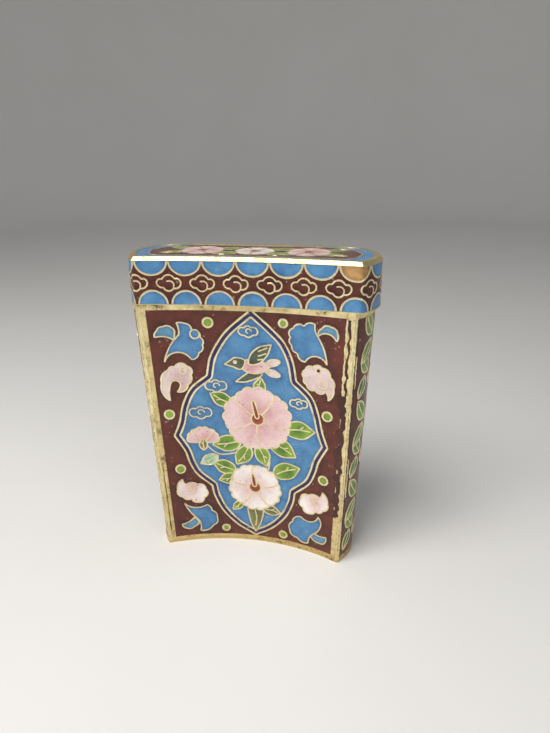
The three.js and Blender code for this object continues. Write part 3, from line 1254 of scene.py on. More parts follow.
@dataclass
class FrontPicture:
    """Cloud-and-flower picture of the front: a cusped blue panel on a maroon ground."""

    def design(self) -> Design:
        """Lays out the whole picture.

        Returns:
            The finished picture.
        """
        art = Design(Enamel.MAROON)
        self._dots(art)
        self._flames(art)
        self._clouds(art)
        self._panel(art)
        self._ribbons(art)
        self._stems(art)
        self._leaves(art)
        self._rock(art)
        self._pink_flower(art)
        self._white_flower(art)
        self._bud(art)
        self._bird(art)
        return art

    def _dots(self, art: Design) -> None:
        """Green dots in gold rings.

        Args:
            art: Picture that is added to.
        """
        for centre, radius in (((-9.6, 64.0), 1.2), ((8.9, 64.6), 1.0), ((-21.0, 39.3), 1.2), ((20.0, 41.8),
                                                                                               1.2),
                               ((-19.4, 23.0), 1.2), ((19.3, 23.5), 1.2), ((-8.2, 3.7), 0.95), ((7.9, 3.4),
                                                                                                1.05)):
            art.cell(disc(centre, radius), Enamel.LEAF, width=0.55)

    def _flames(self, art: Design) -> None:
        """Blue flames with a side leaf in each corner.

        Args:
            art: Picture that is added to.
        """
        art.cell(lobed([(-17.9, 61.2, 0.2), (-18.6, 62.7, 0.2), (-20.6, 62.9, 0.2), (-22.2, 61.9, 0.15),
                        (-22.9, 60.2, -0.12), (-18.2, 59.4, 0.0)]), Enamel.TURQUOISE)
        art.cell(lobed([(-17.3, 63.9, 0.08), (-15.1, 63.7, 0.22), (-13.7, 62.0, 0.3), (-11.7, 60.1, 0.25),
                        (-11.3, 58.2, 0.25), (-12.3, 56.2, 0.2), (-14.2, 54.3, -0.34), (-21.0, 53.6, 0.08),
                        (-16.9, 60.8, -0.08)]), Enamel.SKY)
        art.cell(disc((-13.0, 61.0), 1.15), Enamel.SKY)
        art.cell(lobed([(17.5, 62.2, 0.2), (18.3, 64.1, 0.22), (20.6, 64.7, 0.2), (22.1, 63.3, 0.15),
                        (21.9, 61.3, -0.28)]), Enamel.TURQUOISE)
        art.cell(lobed([(10.7, 61.3, 0.3), (11.4, 63.6, 0.28), (14.0, 64.3, 0.2), (16.7, 65.0, -0.08),
                        (17.0, 62.6, 0.07), (19.7, 55.1, -0.34), (14.3, 55.4, 0.22), (12.4, 57.4, 0.25),
                        (11.0, 59.3, 0.25)]), Enamel.SKY)
        art.cell(lobed([(-20.3, 5.5, -0.1), (-16.9, 7.4, 0.1), (-15.6, 5.6, 0.1), (-17.0, 4.4, 0.2),
                        (-19.2, 4.1, 0.2)]), Enamel.TURQUOISE)
        art.cell(lobed([(-19.2, 12.2, -0.2), (-13.1, 11.4, 0.15), (-11.9, 9.4, 0.22), (-10.6, 7.0, 0.25),
                        (-11.8, 4.6, 0.2), (-15.4, 3.0, -0.1), (-15.6, 6.4, 0.05)]), Enamel.SKY)
        art.cell(lobed([(20.5, 6.4, 0.1), (20.2, 4.6, 0.2), (18.4, 3.9, 0.15), (16.6, 4.4, 0.1), (15.8, 5.9,
                                                                                                  0.1),
                        (17.4, 6.3, -0.1)]), Enamel.TURQUOISE)
        art.cell(lobed([(18.1, 12.0, 0.12), (18.9, 9.6, 0.1), (16.6, 6.0, -0.1), (15.2, 2.7, 0.2), (12.0,
                                                                                                    3.6,
                                                                                                    0.25),
                        (9.9, 5.6, 0.2), (10.7, 8.4, 0.22), (13.2, 10.6, -0.3)]), Enamel.SKY)

    def _clouds(self, art: Design) -> None:
        """Pale curled clouds.

        Args:
            art: Picture that is added to.
        """
        art.cell(lobed([(-20.4, 43.2, 0.18), (-22.2, 48.2, 0.2), (-20.3, 51.6, 0.25), (-18.6, 52.4, 0.3),
                        (-15.6, 52.6, 0.3), (-14.7, 50.2, 0.2), (-15.6, 47.6, 0.25), (-18.6, 45.6, -0.1),
                        (-17.5, 47.4, -0.42), (-20.0, 47.9, -0.06)]), Enamel.LILAC, (-17.5, 48.6))
        art.wire(moved(curl(1.15, 1.25), (-16.6, 51.2), 20.0), 0.4)
        art.cell(lobed([(14.0, 51.2, 0.3), (14.4, 53.4, 0.3), (16.2, 54.3, 0.25), (18.6, 54.3, 0.25),
                        (20.6, 52.2, 0.2), (21.5, 49.4, 0.15), (20.1, 46.0, -0.15), (19.4, 48.3, 0.3),
                        (16.8, 48.4, 0.3), (14.7, 49.5, 0.25)]), Enamel.LILAC, (18.2, 49.4))
        art.wire(moved(curl(1.3, 1.2), (18.6, 50.2), 200.0, mirrored=True), 0.4)
        art.cell(disc((17.6, 53.5), 0.6), Enamel.MAROON, width=0.35)
        for side, foot in ((-1, 0.0), (1, 0.1)):
            art.cell(lobed([(side * 19.2, 19.8 + foot, 0.15), (side * 20.7, 16.8, 0.25), (side * 19.4, 14.3,
                                                                                          0.25),
                            (side * 17.2, 13.5, 0.2), (side * 15.4, 12.3, 0.3), (side * 13.8, 13.8, 0.3),
                            (side * 13.1, 16.4, 0.3), (side * 15.3, 18.0, 0.2), (side * 18.4, 18.1, -0.1)]),
                     Enamel.WHITE, (side * 17.6, 17.0))
            art.wire(moved(curl(1.35, 1.2), (side * 17.0, 16.6), side * 100.0, mirrored=side < 0), 0.4)

    def _panel(self, art: Design) -> None:
        """Cusped panel: navy line between two gold ones, and a sky-blue ground.

        Args:
            art: Picture that is added to.
        """
        right = [(1.1, 67.5), (6.1, 63.0), (9.2, 59.6), (11.2, 55.0), (12.0, 50.1), (15.9, 46.4), (17.7,
                                                                                                   42.0),
                 (18.9, 36.9), (20.3, 33.1), (18.0, 28.6), (17.0, 25.0), (15.3, 21.3), (11.4, 17.6), (10.8,
                                                                                                      14.2),
                 (8.7, 9.4), (4.9, 5.0), (0.1, 1.9)]
        left = [(-4.4, 62.8), (-7.2, 59.4), (-9.6, 55.0), (-10.7, 50.1), (-14.9, 46.6), (-17.3, 42.0),
                (-18.6, 36.9),
                (-20.2, 33.1), (-17.8, 28.6), (-16.8, 25.0), (-15.1, 21.3), (-11.3, 17.6), (-10.7, 14.2),
                (-8.6, 9.4), (-4.8, 5.0)]
        whole = [right[0], *left, right[-1], *reversed(right[1:-1])]
        sharp = (0, 4, 8, 12, 16, 20, 24, 28)
        outer = flowing(whole, sharp)
        art.cell(outer, Enamel.NAVY, width=0.52)
        art.cell(drawn_in(outer, 1.32), Enamel.SKY, width=0.52)

    def _ribbons(self, art: Design) -> None:
        """Small drifting clouds drawn in gold wire on the blue.

        Args:
            art: Picture that is added to.
        """
        cloud = lobed([(-2.4, 0.0, 0.25), (-0.9, -0.9, 0.3), (1.1, -0.8, 0.3), (2.4, 0.1, 0.3), (0.8, 1.0,
                                                                                                 0.3),
                       (-0.9, 0.9, 0.3)])
        for place, scale in (((0.2, 62.0), 1.0), ((-8.6, 47.2), 1.15), ((-13.0, 39.6), 1.2), ((12.6, 44.0),
                                                                                              0.95)):
            art.wire(moved(cloud, place, 0.0, scale), 0.42)
            art.wire(moved(curl(0.9, 0.75), place, 0.0, scale), 0.36)

    def _stems(self, art: Design) -> None:
        """Thin stems that join the flowers and the bud."""
        art.wire(flowing([(0.4, 10.0), (4.6, 26.0), (2.0, 33.0)], closed=False), 0.5)
        art.wire(flowing([(-1.0, 29.0), (-8.4, 27.4), (-12.6, 30.6)], closed=False), 0.42)

    def _leaf(self, art: Design, foot: tuple[float, float], turn: float, length: float,
              enamel: Enamel = Enamel.LEAF) -> None:
        """Pointed leaf with a midrib and a side vein.

        Args:
            art: Design that takes the leaf.
            foot: Place where the leaf starts.
            turn: Way that it points, in degrees up from the right.
            length: Length from foot to tip.
            enamel: Colour.
        """
        leaf = flowing([(0.0, 0.0), (0.22, 0.25), (0.6, 0.29), (1.0, 0.0), (0.62, -0.26), (0.22, -0.22)],
                       (0, 3),
                       step=0.03)
        leaf = moved(leaf, foot, turn, length)
        art.cell(leaf, enamel, tuple(leaf.mean(axis=0)))
        for vein in ([(0.14, 0.0), (0.5, 0.03), (0.84, 0.0)], [(0.48, 0.02), (0.64, 0.14)]):
            art.wire(moved(flowing(vein, closed=False, step=0.03), foot, turn, length), 0.36)

    def _leaves(self, art: Design) -> None:
        """Leaves round the flowers.

        Args:
            art: Picture that is added to.
        """
        for foot, turn, length in (
            ((2.4, 45.0), 84.0, 5.2), ((-4.6, 42.2), 152.0, 6.4), ((8.6, 36.2), 4.0, 8.4), ((-2.6, 31.6),
                                                                                            190.0, 8.0),
            ((4.6, 32.4), -28.0, 8.2), ((-0.6, 30.4), 238.0, 7.0), ((1.6, 30.8), -70.0, 6.6),
            ((5.4, 22.2), 24.0, 8.2), ((-4.4, 22.4), 158.0, 6.8), ((-4.2, 20.8), 196.0, 5.4), ((-3.2, 12.8),
                                                                                               226.0, 4.0),
        ):
            self._leaf(art, foot, turn, length)
        self._leaf(art, (-9.2, 27.0), 208.0, 5.4, Enamel.MIST)

    def _rock(self, art: Design) -> None:
        """Woody foot of the stem, with a mossy leaf.

        Args:
            art: Picture that is added to.
        """
        self._leaf(art, (2.2, 11.0), -8.0, 5.2, Enamel.OLIVE)
        art.cell(flowing([(-1.6, 11.8), (-1.3, 6.6), (0.1, 3.0), (1.7, 6.4), (2.4, 11.6)], (2,)),
                 Enamel.OLIVE,
                 (0.4, 8.0))
        art.wire(flowing([(0.1, 10.4), (0.5, 7.6), (0.1, 5.0)], closed=False), 0.36)

    def _petals(self, art: Design, heart: tuple[float, float], turns: tuple[float, ...], reach: float,
                enamel: Enamel) -> None:
        """Notched petals that open from one heart.

        Args:
            art: Design that takes the petals.
            heart: Middle of the flower.
            turns: Way that each petal points, in degrees left from upright.
            reach: Length of a petal.
            enamel: Colour.
        """
        half = 0.56 * reach
        petal = lobed([(0.0, 0.2, 0.05), (half, 0.62 * reach, 0.3), (0.6 * half, 0.95 * reach, 0.3),
                       (0.0, 0.99 * reach, 0.3), (-0.6 * half, 0.95 * reach, 0.3), (-half, 0.62 * reach,
                                                                                    0.05)])
        for turn in turns:
            art.cell(moved(petal, heart, turn), enamel, heart, 0.44)

    def _stamen(self, art: Design, heart: tuple[float, float], turn: float, length: float) -> None:
        """Slender rust-red stamen that stands up from a heart.

        Args:
            art: Picture that is added to.
            heart: Middle of the flower.
            turn: Turn in degrees.
            length: How long it is, in millimetres.
        """
        line = flowing([(-0.5, 0.6), (-0.42, length - 0.8), (0.0, length), (0.42, length - 0.8), (0.5,
                                                                                                  0.6)])
        art.cell(moved(line, heart, turn), Enamel.RUST, width=0.42)

    def _pink_flower(self, art: Design) -> None:
        """Large open flower with a rust-red heart.

        Args:
            art: Picture that is added to.
        """
        heart = (1.8, 38.4)
        self._petals(art, heart, (150.0, 222.0, 78.0, 294.0, 6.0), 8.4, Enamel.PINK)
        art.cell(disc(heart, 1.7), Enamel.RUST, heart, 0.4)
        self._stamen(art, heart, 12.0, 5.4)

    def _white_flower(self, art: Design) -> None:
        """Smaller pale flower below.

        Args:
            art: Picture that is added to.
        """
        heart = (0.4, 17.6)
        self._petals(art, heart, (180.0, 108.0, 252.0, 36.0, 324.0), 6.7, Enamel.WHITE)
        art.cell(disc(heart, 1.6), Enamel.RUST, heart, 0.4)
        self._stamen(art, heart, 8.0, 4.4)

    def _bud(self, art: Design) -> None:
        """Small bud in an olive cup.

        Args:
            art: Picture that is added to.
        """
        heart = (-12.8, 31.0)
        self._petals(art, heart, (48.0, -48.0, 0.0), 4.2, Enamel.PINK)
        self._leaf(art, (-12.8, 28.6), 90.0, 3.6, Enamel.OLIVE)

    def _bird(self, art: Design) -> None:
        """Small plain bird in flight, made of rounded cells.

        Args:
            art: Picture that is added to.
        """
        middle = (0.9, 53.0)
        for turn in (-16.0, 14.0):
            feather = flowing([(3.2, 0.0), (5.2, 0.9), (7.2, 0.3), (6.8, -0.6), (4.8, -0.9)], (0,))
            art.cell(moved(feather, middle, turn), Enamel.LILAC, middle)
        for wing, tip, enamel in (
            ([(0.6, -0.8), (-1.4, -2.0), (-4.4, -4.4), (-1.4, -4.2), (2.4, -2.2)], 2, Enamel.BIRD),
            ([(-3.2, 0.2), (-1.2, 1.7), (2.2, 1.5), (4.6, 0.2), (2.2, -1.6), (-1.2, -1.7)], 3, Enamel.PINK),
            ([(-2.0, 1.7), (-4.2, 2.1), (-5.6, 1.2), (-7.0, 0.2), (-5.0, -0.3), (-3.0, -1.0), (-1.9, 0.4)],
             3,
             Enamel.BIRD),
            ([(-0.8, 0.6), (-0.2, 3.2), (2.0, 5.2), (5.0, 6.0), (3.9, 3.2), (1.8, 0.9)], 3, Enamel.BIRD),
        ):
            art.cell(moved(flowing(wing, (tip,)), middle), enamel, middle)
        for quill in ([(1.6, 4.0), (4.0, 5.1)], [(1.6, 2.8), (3.7, 3.6)], [(1.4, 1.8), (2.9, 2.1)]):
            art.wire(moved(flowing(quill, closed=False), middle), 0.42)
        art.cell(moved(disc((-4.3, 0.9), 0.42), middle), Enamel.WHITE, width=0.3)


@dataclass
class ScrollPicture:
    """Leaf scroll that climbs a side face."""

    low: float
    high: float
    swing: float = 3.6
    turns: int = 6
    mirrored: bool = False

    def design(self) -> Design:
        """Lays out the scroll.

        Returns:
            The finished picture.
        """
        art = Design(Enamel.MAROON)
        pitch = (self.high - self.low) / self.turns
        stem = [(self.swing * math.sin(math.pi * k / 4), self.low + pitch * k / 4)
                for k in range(4 * self.turns + 1)]
        art.wire(flowing(stem, closed=False), 0.5)
        for turn in range(self.turns):
            side = 1 if turn % 2 == 0 else -1
            v = self.low + pitch * (turn + 0.5)
            self._bloom(art, v, side)
            self._sprig(art, v, side)
        if self.mirrored:
            for motif in art.motifs:
                motif.line = moved(motif.line, mirrored=True)
                if motif.heart is not None:
                    motif.heart = (-motif.heart[0], motif.heart[1])
        return art

    def _bloom(self, art: Design, v: float, side: int) -> None:
        """Small flower inside a curl, in the bend of the stem.

        Args:
            art: Picture that is added to.
            v: Place along v.
            side: Sign that mirrors it in u.
        """
        centre = (-side * 3.4, v)
        art.wire(moved(curl(3.0, 1.15), centre, 90.0 - side * 90.0, mirrored=side < 0), 0.4)
        for petal in range(5):
            line = lobed([(0.0, 0.2, 0.1), (0.85, 1.2, 0.3), (0.0, 1.9, 0.3), (-0.85, 1.2, 0.1)])
            art.cell(moved(line, centre, 72.0 * petal), Enamel.PINK, centre, 0.34)

    def _sprig(self, art: Design, v: float, side: int) -> None:
        """Broad leaves on both sides of the stem.

        Args:
            art: Picture that is added to.
            v: Place along v.
            side: Sign that mirrors it in u.
        """
        leaf = flowing([(-3.4, -0.3), (-1.6, 1.9), (1.2, 1.7), (3.6, 0.2), (1.6, -1.3), (-1.2, -1.6)], (0,
                                                                                                        3))
        vein = flowing([(-2.8, -0.2), (0.0, 0.3), (2.8, 0.2)], closed=False)
        for across, up, turn, size, enamel in ((7.6, 3.3, 58.0, 1.0, Enamel.LEAF), (7.8, -3.1, -52.0, 0.95,
                                                                                    Enamel.LEAF),
                                               (-8.0, 4.8, 118.0, 0.95, Enamel.LEAF),
                                               (-8.6, -1.2, 246.0, 0.85, Enamel.MOSS)):
            shift = (side * across, v + up)
            angle = turn if side > 0 else 180.0 - turn
            art.cell(moved(leaf, shift, angle, size), enamel, shift, 0.46)
            art.wire(moved(vein, shift, angle, size), 0.34)


@dataclass
class BackPicture:
    """Plain cusped panel with one spray of flowers."""

    def design(self) -> Design:
        """Lays out the picture.

        Returns:
            The finished picture.
        """
        art = Design(Enamel.MAROON)
        for u in (-12.5, 12.5):
            for v, size in ((60.0, 1.0), (8.0, 1.0)):
                cloud = flowing([(-4.0, 0.0), (-2.4, 1.9), (0.0, 1.4), (2.0, 2.3), (4.4, 0.6), (2.6, -1.2),
                                 (0.0, -0.7), (-2.2, -1.4)], (0, 4))
                art.cell(moved(cloud, (u, v), 0.0, size, mirrored=u > 0), Enamel.SKY)
        for u, v in ((-14.6, 48.0), (14.6, 48.0), (-14.2, 20.0), (14.2, 20.0)):
            art.cell(disc((u, v), 1.3), Enamel.LEAF, width=0.5)
        half = [(0.0, 63.6), (4.2, 58.6), (7.6, 52.0), (9.0, 47.2), (12.8, 42.0), (15.2, 34.2), (12.8,
                                                                                                 27.0),
                (9.0, 21.6), (7.4, 15.8), (4.0, 9.6), (0.0, 5.4)]
        whole = both_ways(half)
        count = len(whole)
        sharp = tuple(sorted({n for corner in (0, 3, 5, 7, 10) for n in (corner,
                                                                         (count - corner) % count)}))
        art.cell(flowing(whole, sharp), Enamel.NAVY, width=0.6)
        inner = inset(np.array(whole)[::-1], 1.4)[::-1]
        art.cell(flowing([tuple(point) for point in inner], sharp), Enamel.SKY, width=0.6)
        self._spray(art)
        return art

    def _spray(self, art: Design) -> None:
        """Stem with a flower, a bud and leaves.

        Args:
            art: Picture that is added to.
        """
        art.wire(flowing([(-1.0, 10.6), (1.6, 18.0), (-1.4, 26.0), (0.6, 34.0)], closed=False), 0.42)
        art.wire(flowing([(0.6, 20.0), (4.4, 24.0), (5.2, 28.0)], closed=False))
        leaf = flowing([(-3.2, 0.0), (-0.8, 1.7), (2.0, 1.2), (3.6, 0.0), (1.6, -1.1), (-1.0, -1.4)], (0,
                                                                                                       3))
        for shift, turn, enamel in (((-4.2, 22.4), 140, Enamel.LEAF), ((4.6, 16.6), 30, Enamel.LEAF),
                                    ((-3.4, 15.4), 160, Enamel.MOSS), ((-5.4, 29.0), 130, Enamel.LEAF)):
            art.cell(moved(leaf, shift, turn), enamel, shift)
        for turn in range(0, 360, 72):
            petal = flowing([(0.0, 0.4), (-2.7, 3.4), (-2.0, 6.2), (0.0, 5.7), (2.0, 6.2), (2.7, 3.4)])
            art.cell(moved(petal, (0.6, 38.6), turn), Enamel.PINK, (0.6, 38.6))
        art.cell(disc((0.6, 38.6), 1.5), Enamel.RUST)
        for turn in (-30, 0, 30):
            petal = flowing([(0.0, 0.0), (-1.2, 1.8), (0.0, 4.0), (1.2, 1.8)], (2,))
            art.cell(moved(petal, (5.3, 28.4), turn), Enamel.WHITE, (5.3, 28.4))
        art.wire(flowing([(-4.0, 50.0), (-1.6, 50.4), (1.2, 50.2), (2.0, 49.0), (0.4, 48.2), (-2.4, 48.4)],
                         (),
                         closed=False))


@dataclass
class BandPicture:
    """Rows of blue half-discs along the lid's wall, with small clouds between."""

    half_length: float
    columns: int = 19
    start: float = 1.6
    worn: int = 3

    def design(self) -> Design:
        """Lays out the band.

        Returns:
            The finished picture.
        """
        art = Design(Enamel.MAROON)
        pitch = 2 * self.half_length / self.columns
        first = -math.floor((self.half_length + self.start) / pitch) - 1
        for column in range(first, first + self.columns + 3):
            u = self.start + column * pitch
            enamel = Enamel.BARE if column == self.worn else Enamel.SKY
            self._half_disc(art, (u, BAND_HIGH), 3.78, -3.3, enamel)
            self._half_disc(art, (u, BAND_LOW), 3.45, 3.3, Enamel.SKY)
            self._cloud(art, u + pitch / 2, (BAND_LOW + BAND_HIGH) / 2 - 0.1)
        return art

    def _half_disc(self, art: Design, foot: tuple[float, float], reach: float, height: float,
                   enamel: Enamel) -> None:
        """Half-disc that stands on an edge of the band, or hangs from it.

        Args:
            art: Picture that is added to.
            foot: Middle of its straight edge.
            reach: How far it reaches from its middle.
            height: How far it stands out from the edge, negative downwards.
            enamel: Colour it gets.
        """
        turns = np.linspace(-0.12, math.pi + 0.12, 48)
        line = np.column_stack([foot[0] + reach * np.cos(turns), foot[1] + height * np.sin(turns)])
        art.cell(np.vstack([line, line[:1]]), enamel, width=0.5)

    def _cloud(self, art: Design, u: float, v: float) -> None:
        """Small four-lobed cloud with a curl.

        Args:
            art: Picture that is added to.
            u: Place along u.
            v: Place along v.
        """
        outline_ = lobed([(-2.9, 0.15, 0.22), (-1.3, -1.0, 0.32), (1.1, -1.15, 0.25), (2.9, 0.1, 0.3),
                          (1.5, 1.0, 0.34), (-1.5, 1.0, 0.25)])
        art.wire(moved(outline_, (u, v)), 0.42)
        art.wire(moved(flowing([(1.1, -1.15), (1.2, -0.1), (0.5, 0.55), (-0.5, 0.5)], closed=False), (u,
                                                                                                      v)),
                                                                                                      0.38)


@dataclass
class LidTopPicture:
    """Long wired panel on the lid's top, filled with flowers and leaves."""

    def design(self) -> Design:
        """Lays out the picture in x and y, turned to the panel's own directions.

        Returns:
            The finished picture.
        """
        art = Design(Enamel.SKY)
        art.cell(flowing([(-26.2, -0.4), (-23.0, 5.2), (-17.0, 7.9), (0.0, 8.2), (17.0, 7.9), (23.0, 5.2),
                          (26.2, -0.4),
                          (23.4, -6.6), (14.0, -6.3), (0.0, -5.8), (-14.0, -6.3), (-23.4, -6.6)], (0, 6)),
                 Enamel.MAROON, width=0.55)
        for x, enamel, petals, reach in ((-13.2, Enamel.PINK, 6, 5.2), (13.2, Enamel.PINK, 6, 5.2),
                                         (0.0, Enamel.WHITE, 5, 4.6)):
            self._leaves(art, x)
            self._flower(art, (x, 1.0), enamel, petals, reach)
        for motif in art.motifs:
            motif.line = np.column_stack([-motif.line[:, 1], motif.line[:, 0]])
            if motif.heart is not None:
                motif.heart = (-motif.heart[1], motif.heart[0])
        return art

    def _flower(self, art: Design, centre: tuple[float, float], enamel: Enamel, petals: int,
                reach: float) -> None:
        """Open flower with notched petals.

        Args:
            art: Picture that is added to.
            centre: Middle of the flower.
            enamel: Colour it gets.
            petals: Number of petals.
            reach: How far it reaches from its middle.
        """
        half = reach * math.tan(math.pi / petals) * 0.78
        for petal in range(petals):
            line = lobed([(0.0, 0.5, 0.1), (half, reach * 0.7, 0.3), (half * 0.35, reach, 0.2),
                          (-half * 0.35, reach, 0.3), (-half, reach * 0.7, 0.1)])
            art.cell(moved(line, centre, 360.0 * petal / petals), enamel, centre)
        art.cell(disc(centre, 1.1), Enamel.RUST)

    def _leaves(self, art: Design, x: float) -> None:
        """Leaves on both sides of a flower.

        Args:
            art: Picture that is added to.
            x: Middle of the flower.
        """
        leaf = flowing([(-3.2, 0.0), (-1.4, 1.6), (1.4, 1.3), (3.4, 0.0), (1.2, -1.3), (-1.4, -1.5)], (0,
                                                                                                       3))
        vein = np.column_stack([np.linspace(-2.4, 2.6, 20), np.zeros(20)])
        for shift, turn in (((x - 6.4, 4.0), 160.0), ((x + 6.4, 4.0), 20.0), ((x - 6.4, -2.4), 200.0),
                            ((x + 6.4, -2.4), -20.0)):
            art.cell(moved(leaf, shift, turn), Enamel.LEAF, shift)
            art.wire(moved(vein, shift, turn), 0.34)


# ---------------------------------------------------------------- sub-assemblies

class EndwaysSurface(FlatSurface):
    """Level surface laid out endways: v runs along x, and u against y."""

    def place(self, uv: Points, lift: Points | float = 0.0) -> Points:
        """Points on the surface, raised by a lift."""
        return np.column_stack([uv[:, 1], -uv[:, 0], np.broadcast_to(self.z + lift, len(uv))])


def taken_over(node: str, name: str, finish: GiltFinish, bevel: float = 0.12,
               levels: tuple[tuple[float, float], ...] = ()) -> bpy.types.Object:
    """Copy of a metal part with softened edges and a smooth skin, which stands for that part.

    Args:
        node: Name of the CAD node.
        name: Name it gets.
        finish: Gilt finish it gets.
        bevel: Width of the softened edges, in millimetres.
        levels: Pairs of old and new heights, in millimetres, for corners that change level.

    Returns:
        The new piece.
    """
    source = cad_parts[node]
    item = bpy.data.objects.new(name, source.data.copy())
    bpy.context.scene.collection.objects.link(item)
    item.data.materials.clear()
    item.data.materials.append(FINISHES.gilt(finish))
    for vertex in item.data.vertices:
        for old, new in levels:
            if abs(vertex.co.z - old * MM) < 0.05 * MM:
                vertex.co.z += (new - old) * MM
    modifier = item.modifiers.new("softened", "BEVEL")
    modifier.width = bevel * MM
    modifier.segments = 2
    modifier.limit_method = "ANGLE"
    modifier.angle_limit = math.radians(35.0)
    smooth(item, 30.0)
    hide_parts(node)
    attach(item, "root")
    LOG.info("%s: %d faces", name, len(item.data.polygons))
    return item


@dataclass
class WornEdges:
    """Rough seams of gilding, and enamel that ran over the metal, along the upright edges."""

    front: WrapSurface
    sides: tuple[WrapSurface, WrapSurface]
    offset: tuple[float, float, float]

    def _upright(self, surface: WrapSurface, from_edge: float, low: float, high: float) -> Points:
        """Line that climbs at a distance from an edge: the right one, or the left one where negative.

        Args:
            surface: Surface that it runs on.
            from_edge: Distance from the right edge, or minus the distance from the left one.
            low: Height where it starts.
            high: Height where it ends.

        Returns:
            Points of the line.
        """
        v = np.linspace(low, high, 140)
        half = surface.half(v)
        return np.column_stack([half - from_edge if from_edge > 0 else -half - from_edge, v])

    def _dress(self, parts: MeshParts, name: str, material: bpy.types.Material) -> None:
        """Turns gathered ribbons into a piece.

        Args:
            parts: Gathered ribbons.
            name: Name it gets.
            material: Material it gets.
        """
        item = parts.build(name, self.offset)
        item.data.materials.append(material)
        smooth(item, 60.0)
        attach(item, "root")
        LOG.info("%s: %d faces", name, len(item.data.polygons))

    def build(self) -> None:
        """Builds the seams and the stains."""
        noise = np.random.default_rng(31)
        left, right = self.sides
        seam = Ribbon(rise=0.10, ragged=0.20, pitch=0.22, spread=3)
        seams = MeshParts()
        for surface, from_edge, low, high, width in (
            (self.front, 0.40, 0.8, 67.6, 0.60), (self.front, -0.42, 0.8, 67.6, 0.62),
            (self.front, 2.00, 48.5, 67.0, 0.50), (self.front, 1.30, 2.2, 13.0, 1.10), (self.front, 1.75,
                                                                                        2.2, 9.5, 0.70),
            (right, -0.40, 0.8, 67.6, 0.50), (left, 0.40, 0.8, 67.6, 0.50),
            (right, -1.15, 50.0, 58.0, 0.34), (right, -1.15, 20.0, 31.0, 0.34), (left, 1.15, 38.0, 52.0,
                                                                                 0.34),
        ):
            seam.add(seams, surface, self._upright(surface, from_edge, low, high), width, noise)
        self._dress(seams, "gilt_seams", FINISHES.gilt(SEAM_FINISH))
        stain = Ribbon(rise=0.035, ragged=0.3, pitch=0.3, spread=4)
        stains = MeshParts()
        for surface, from_edge, low, high, width in (
            (self.front, 1.62, 13.6, 48.0, 1.90), (self.front, 1.34, 47.5, 66.8, 0.72), (self.front, -0.95,
                                                                                         4.0, 24.0, 0.22),
            (right, -0.95, 1.6, 67.0, 0.60), (left, 0.95, 1.6, 67.0, 0.60),
        ):
            stain.add(stains, surface, self._upright(surface, from_edge, low, high), width, noise)
        self._dress(stains, "overrun_enamel", FINISHES.enamel(Enamel.MAROON))


@dataclass
class Body:
    """Tapering body with a picture in each face."""

    shift: float = -LID_SHIFT
    pitch: float = 0.235

    @property
    def offset(self) -> tuple[float, float, float]:
        """Place of the body in the frame."""
        return (self.shift, -MIDDLE_Y, 0.0)

    def surface(self, face: Face) -> WrapSurface:
        """Outer surface of a face."""
        heights = np.linspace(0.0, LID_BASE, 41)
        return WrapSurface([body_plan(z).faces()[face.value] for z in heights], heights)

    def field(self, face: Face, surface: WrapSurface, pitch: float) -> Field:
        """Division of the enamel of a face.

        Args:
            face: Which face.
            surface: Its outer surface.
            pitch: Size of a square of the grid, in millimetres.

        Returns:
            The division.
        """
        tall = BED_HIGH - BED_LOW
        rows = np.linspace(BED_LOW, BED_HIGH, 8 * round(tall / pitch / 8) + 1)
        reach = surface.half(rows) - strip_of(face)
        columns = 8 * round(2 * float(reach.max()) / pitch / 8)
        return Field(rows, -reach, reach, columns)

    def build(self) -> None:
        """Builds the metal and the four panels."""
        taken_over("body_shell", "gilt_body", EDGE_FINISH)
        taken_over("base_plate", "gilt_base", BASE_FINISH)
        designs = {
            Face.FRONT: (FrontPicture().design(), self.pitch, "panel_enamel"),
            Face.RIGHT: (ScrollPicture(BED_LOW, BED_HIGH).design(), 0.3, "side_enamel"),
            Face.BACK: (BackPicture().design(), 0.3, "panel_enamel"),
            Face.LEFT: (ScrollPicture(BED_LOW, BED_HIGH, mirrored=True).design(), 0.3, "side_enamel"),
        }
        for face, (design, pitch, slot) in designs.items():
            surface = self.surface(face)
            node = face.name.lower() + "_enamel"
            EnamelPanel(face.name.lower() + "_picture", surface, design, self.field(face, surface, pitch),
                        node, slot,
                        self.offset, seed=face.value + 1).build()
        sides = (self.surface(Face.LEFT), self.surface(Face.RIGHT))
        WornEdges(self.surface(Face.FRONT), sides, self.offset).build()


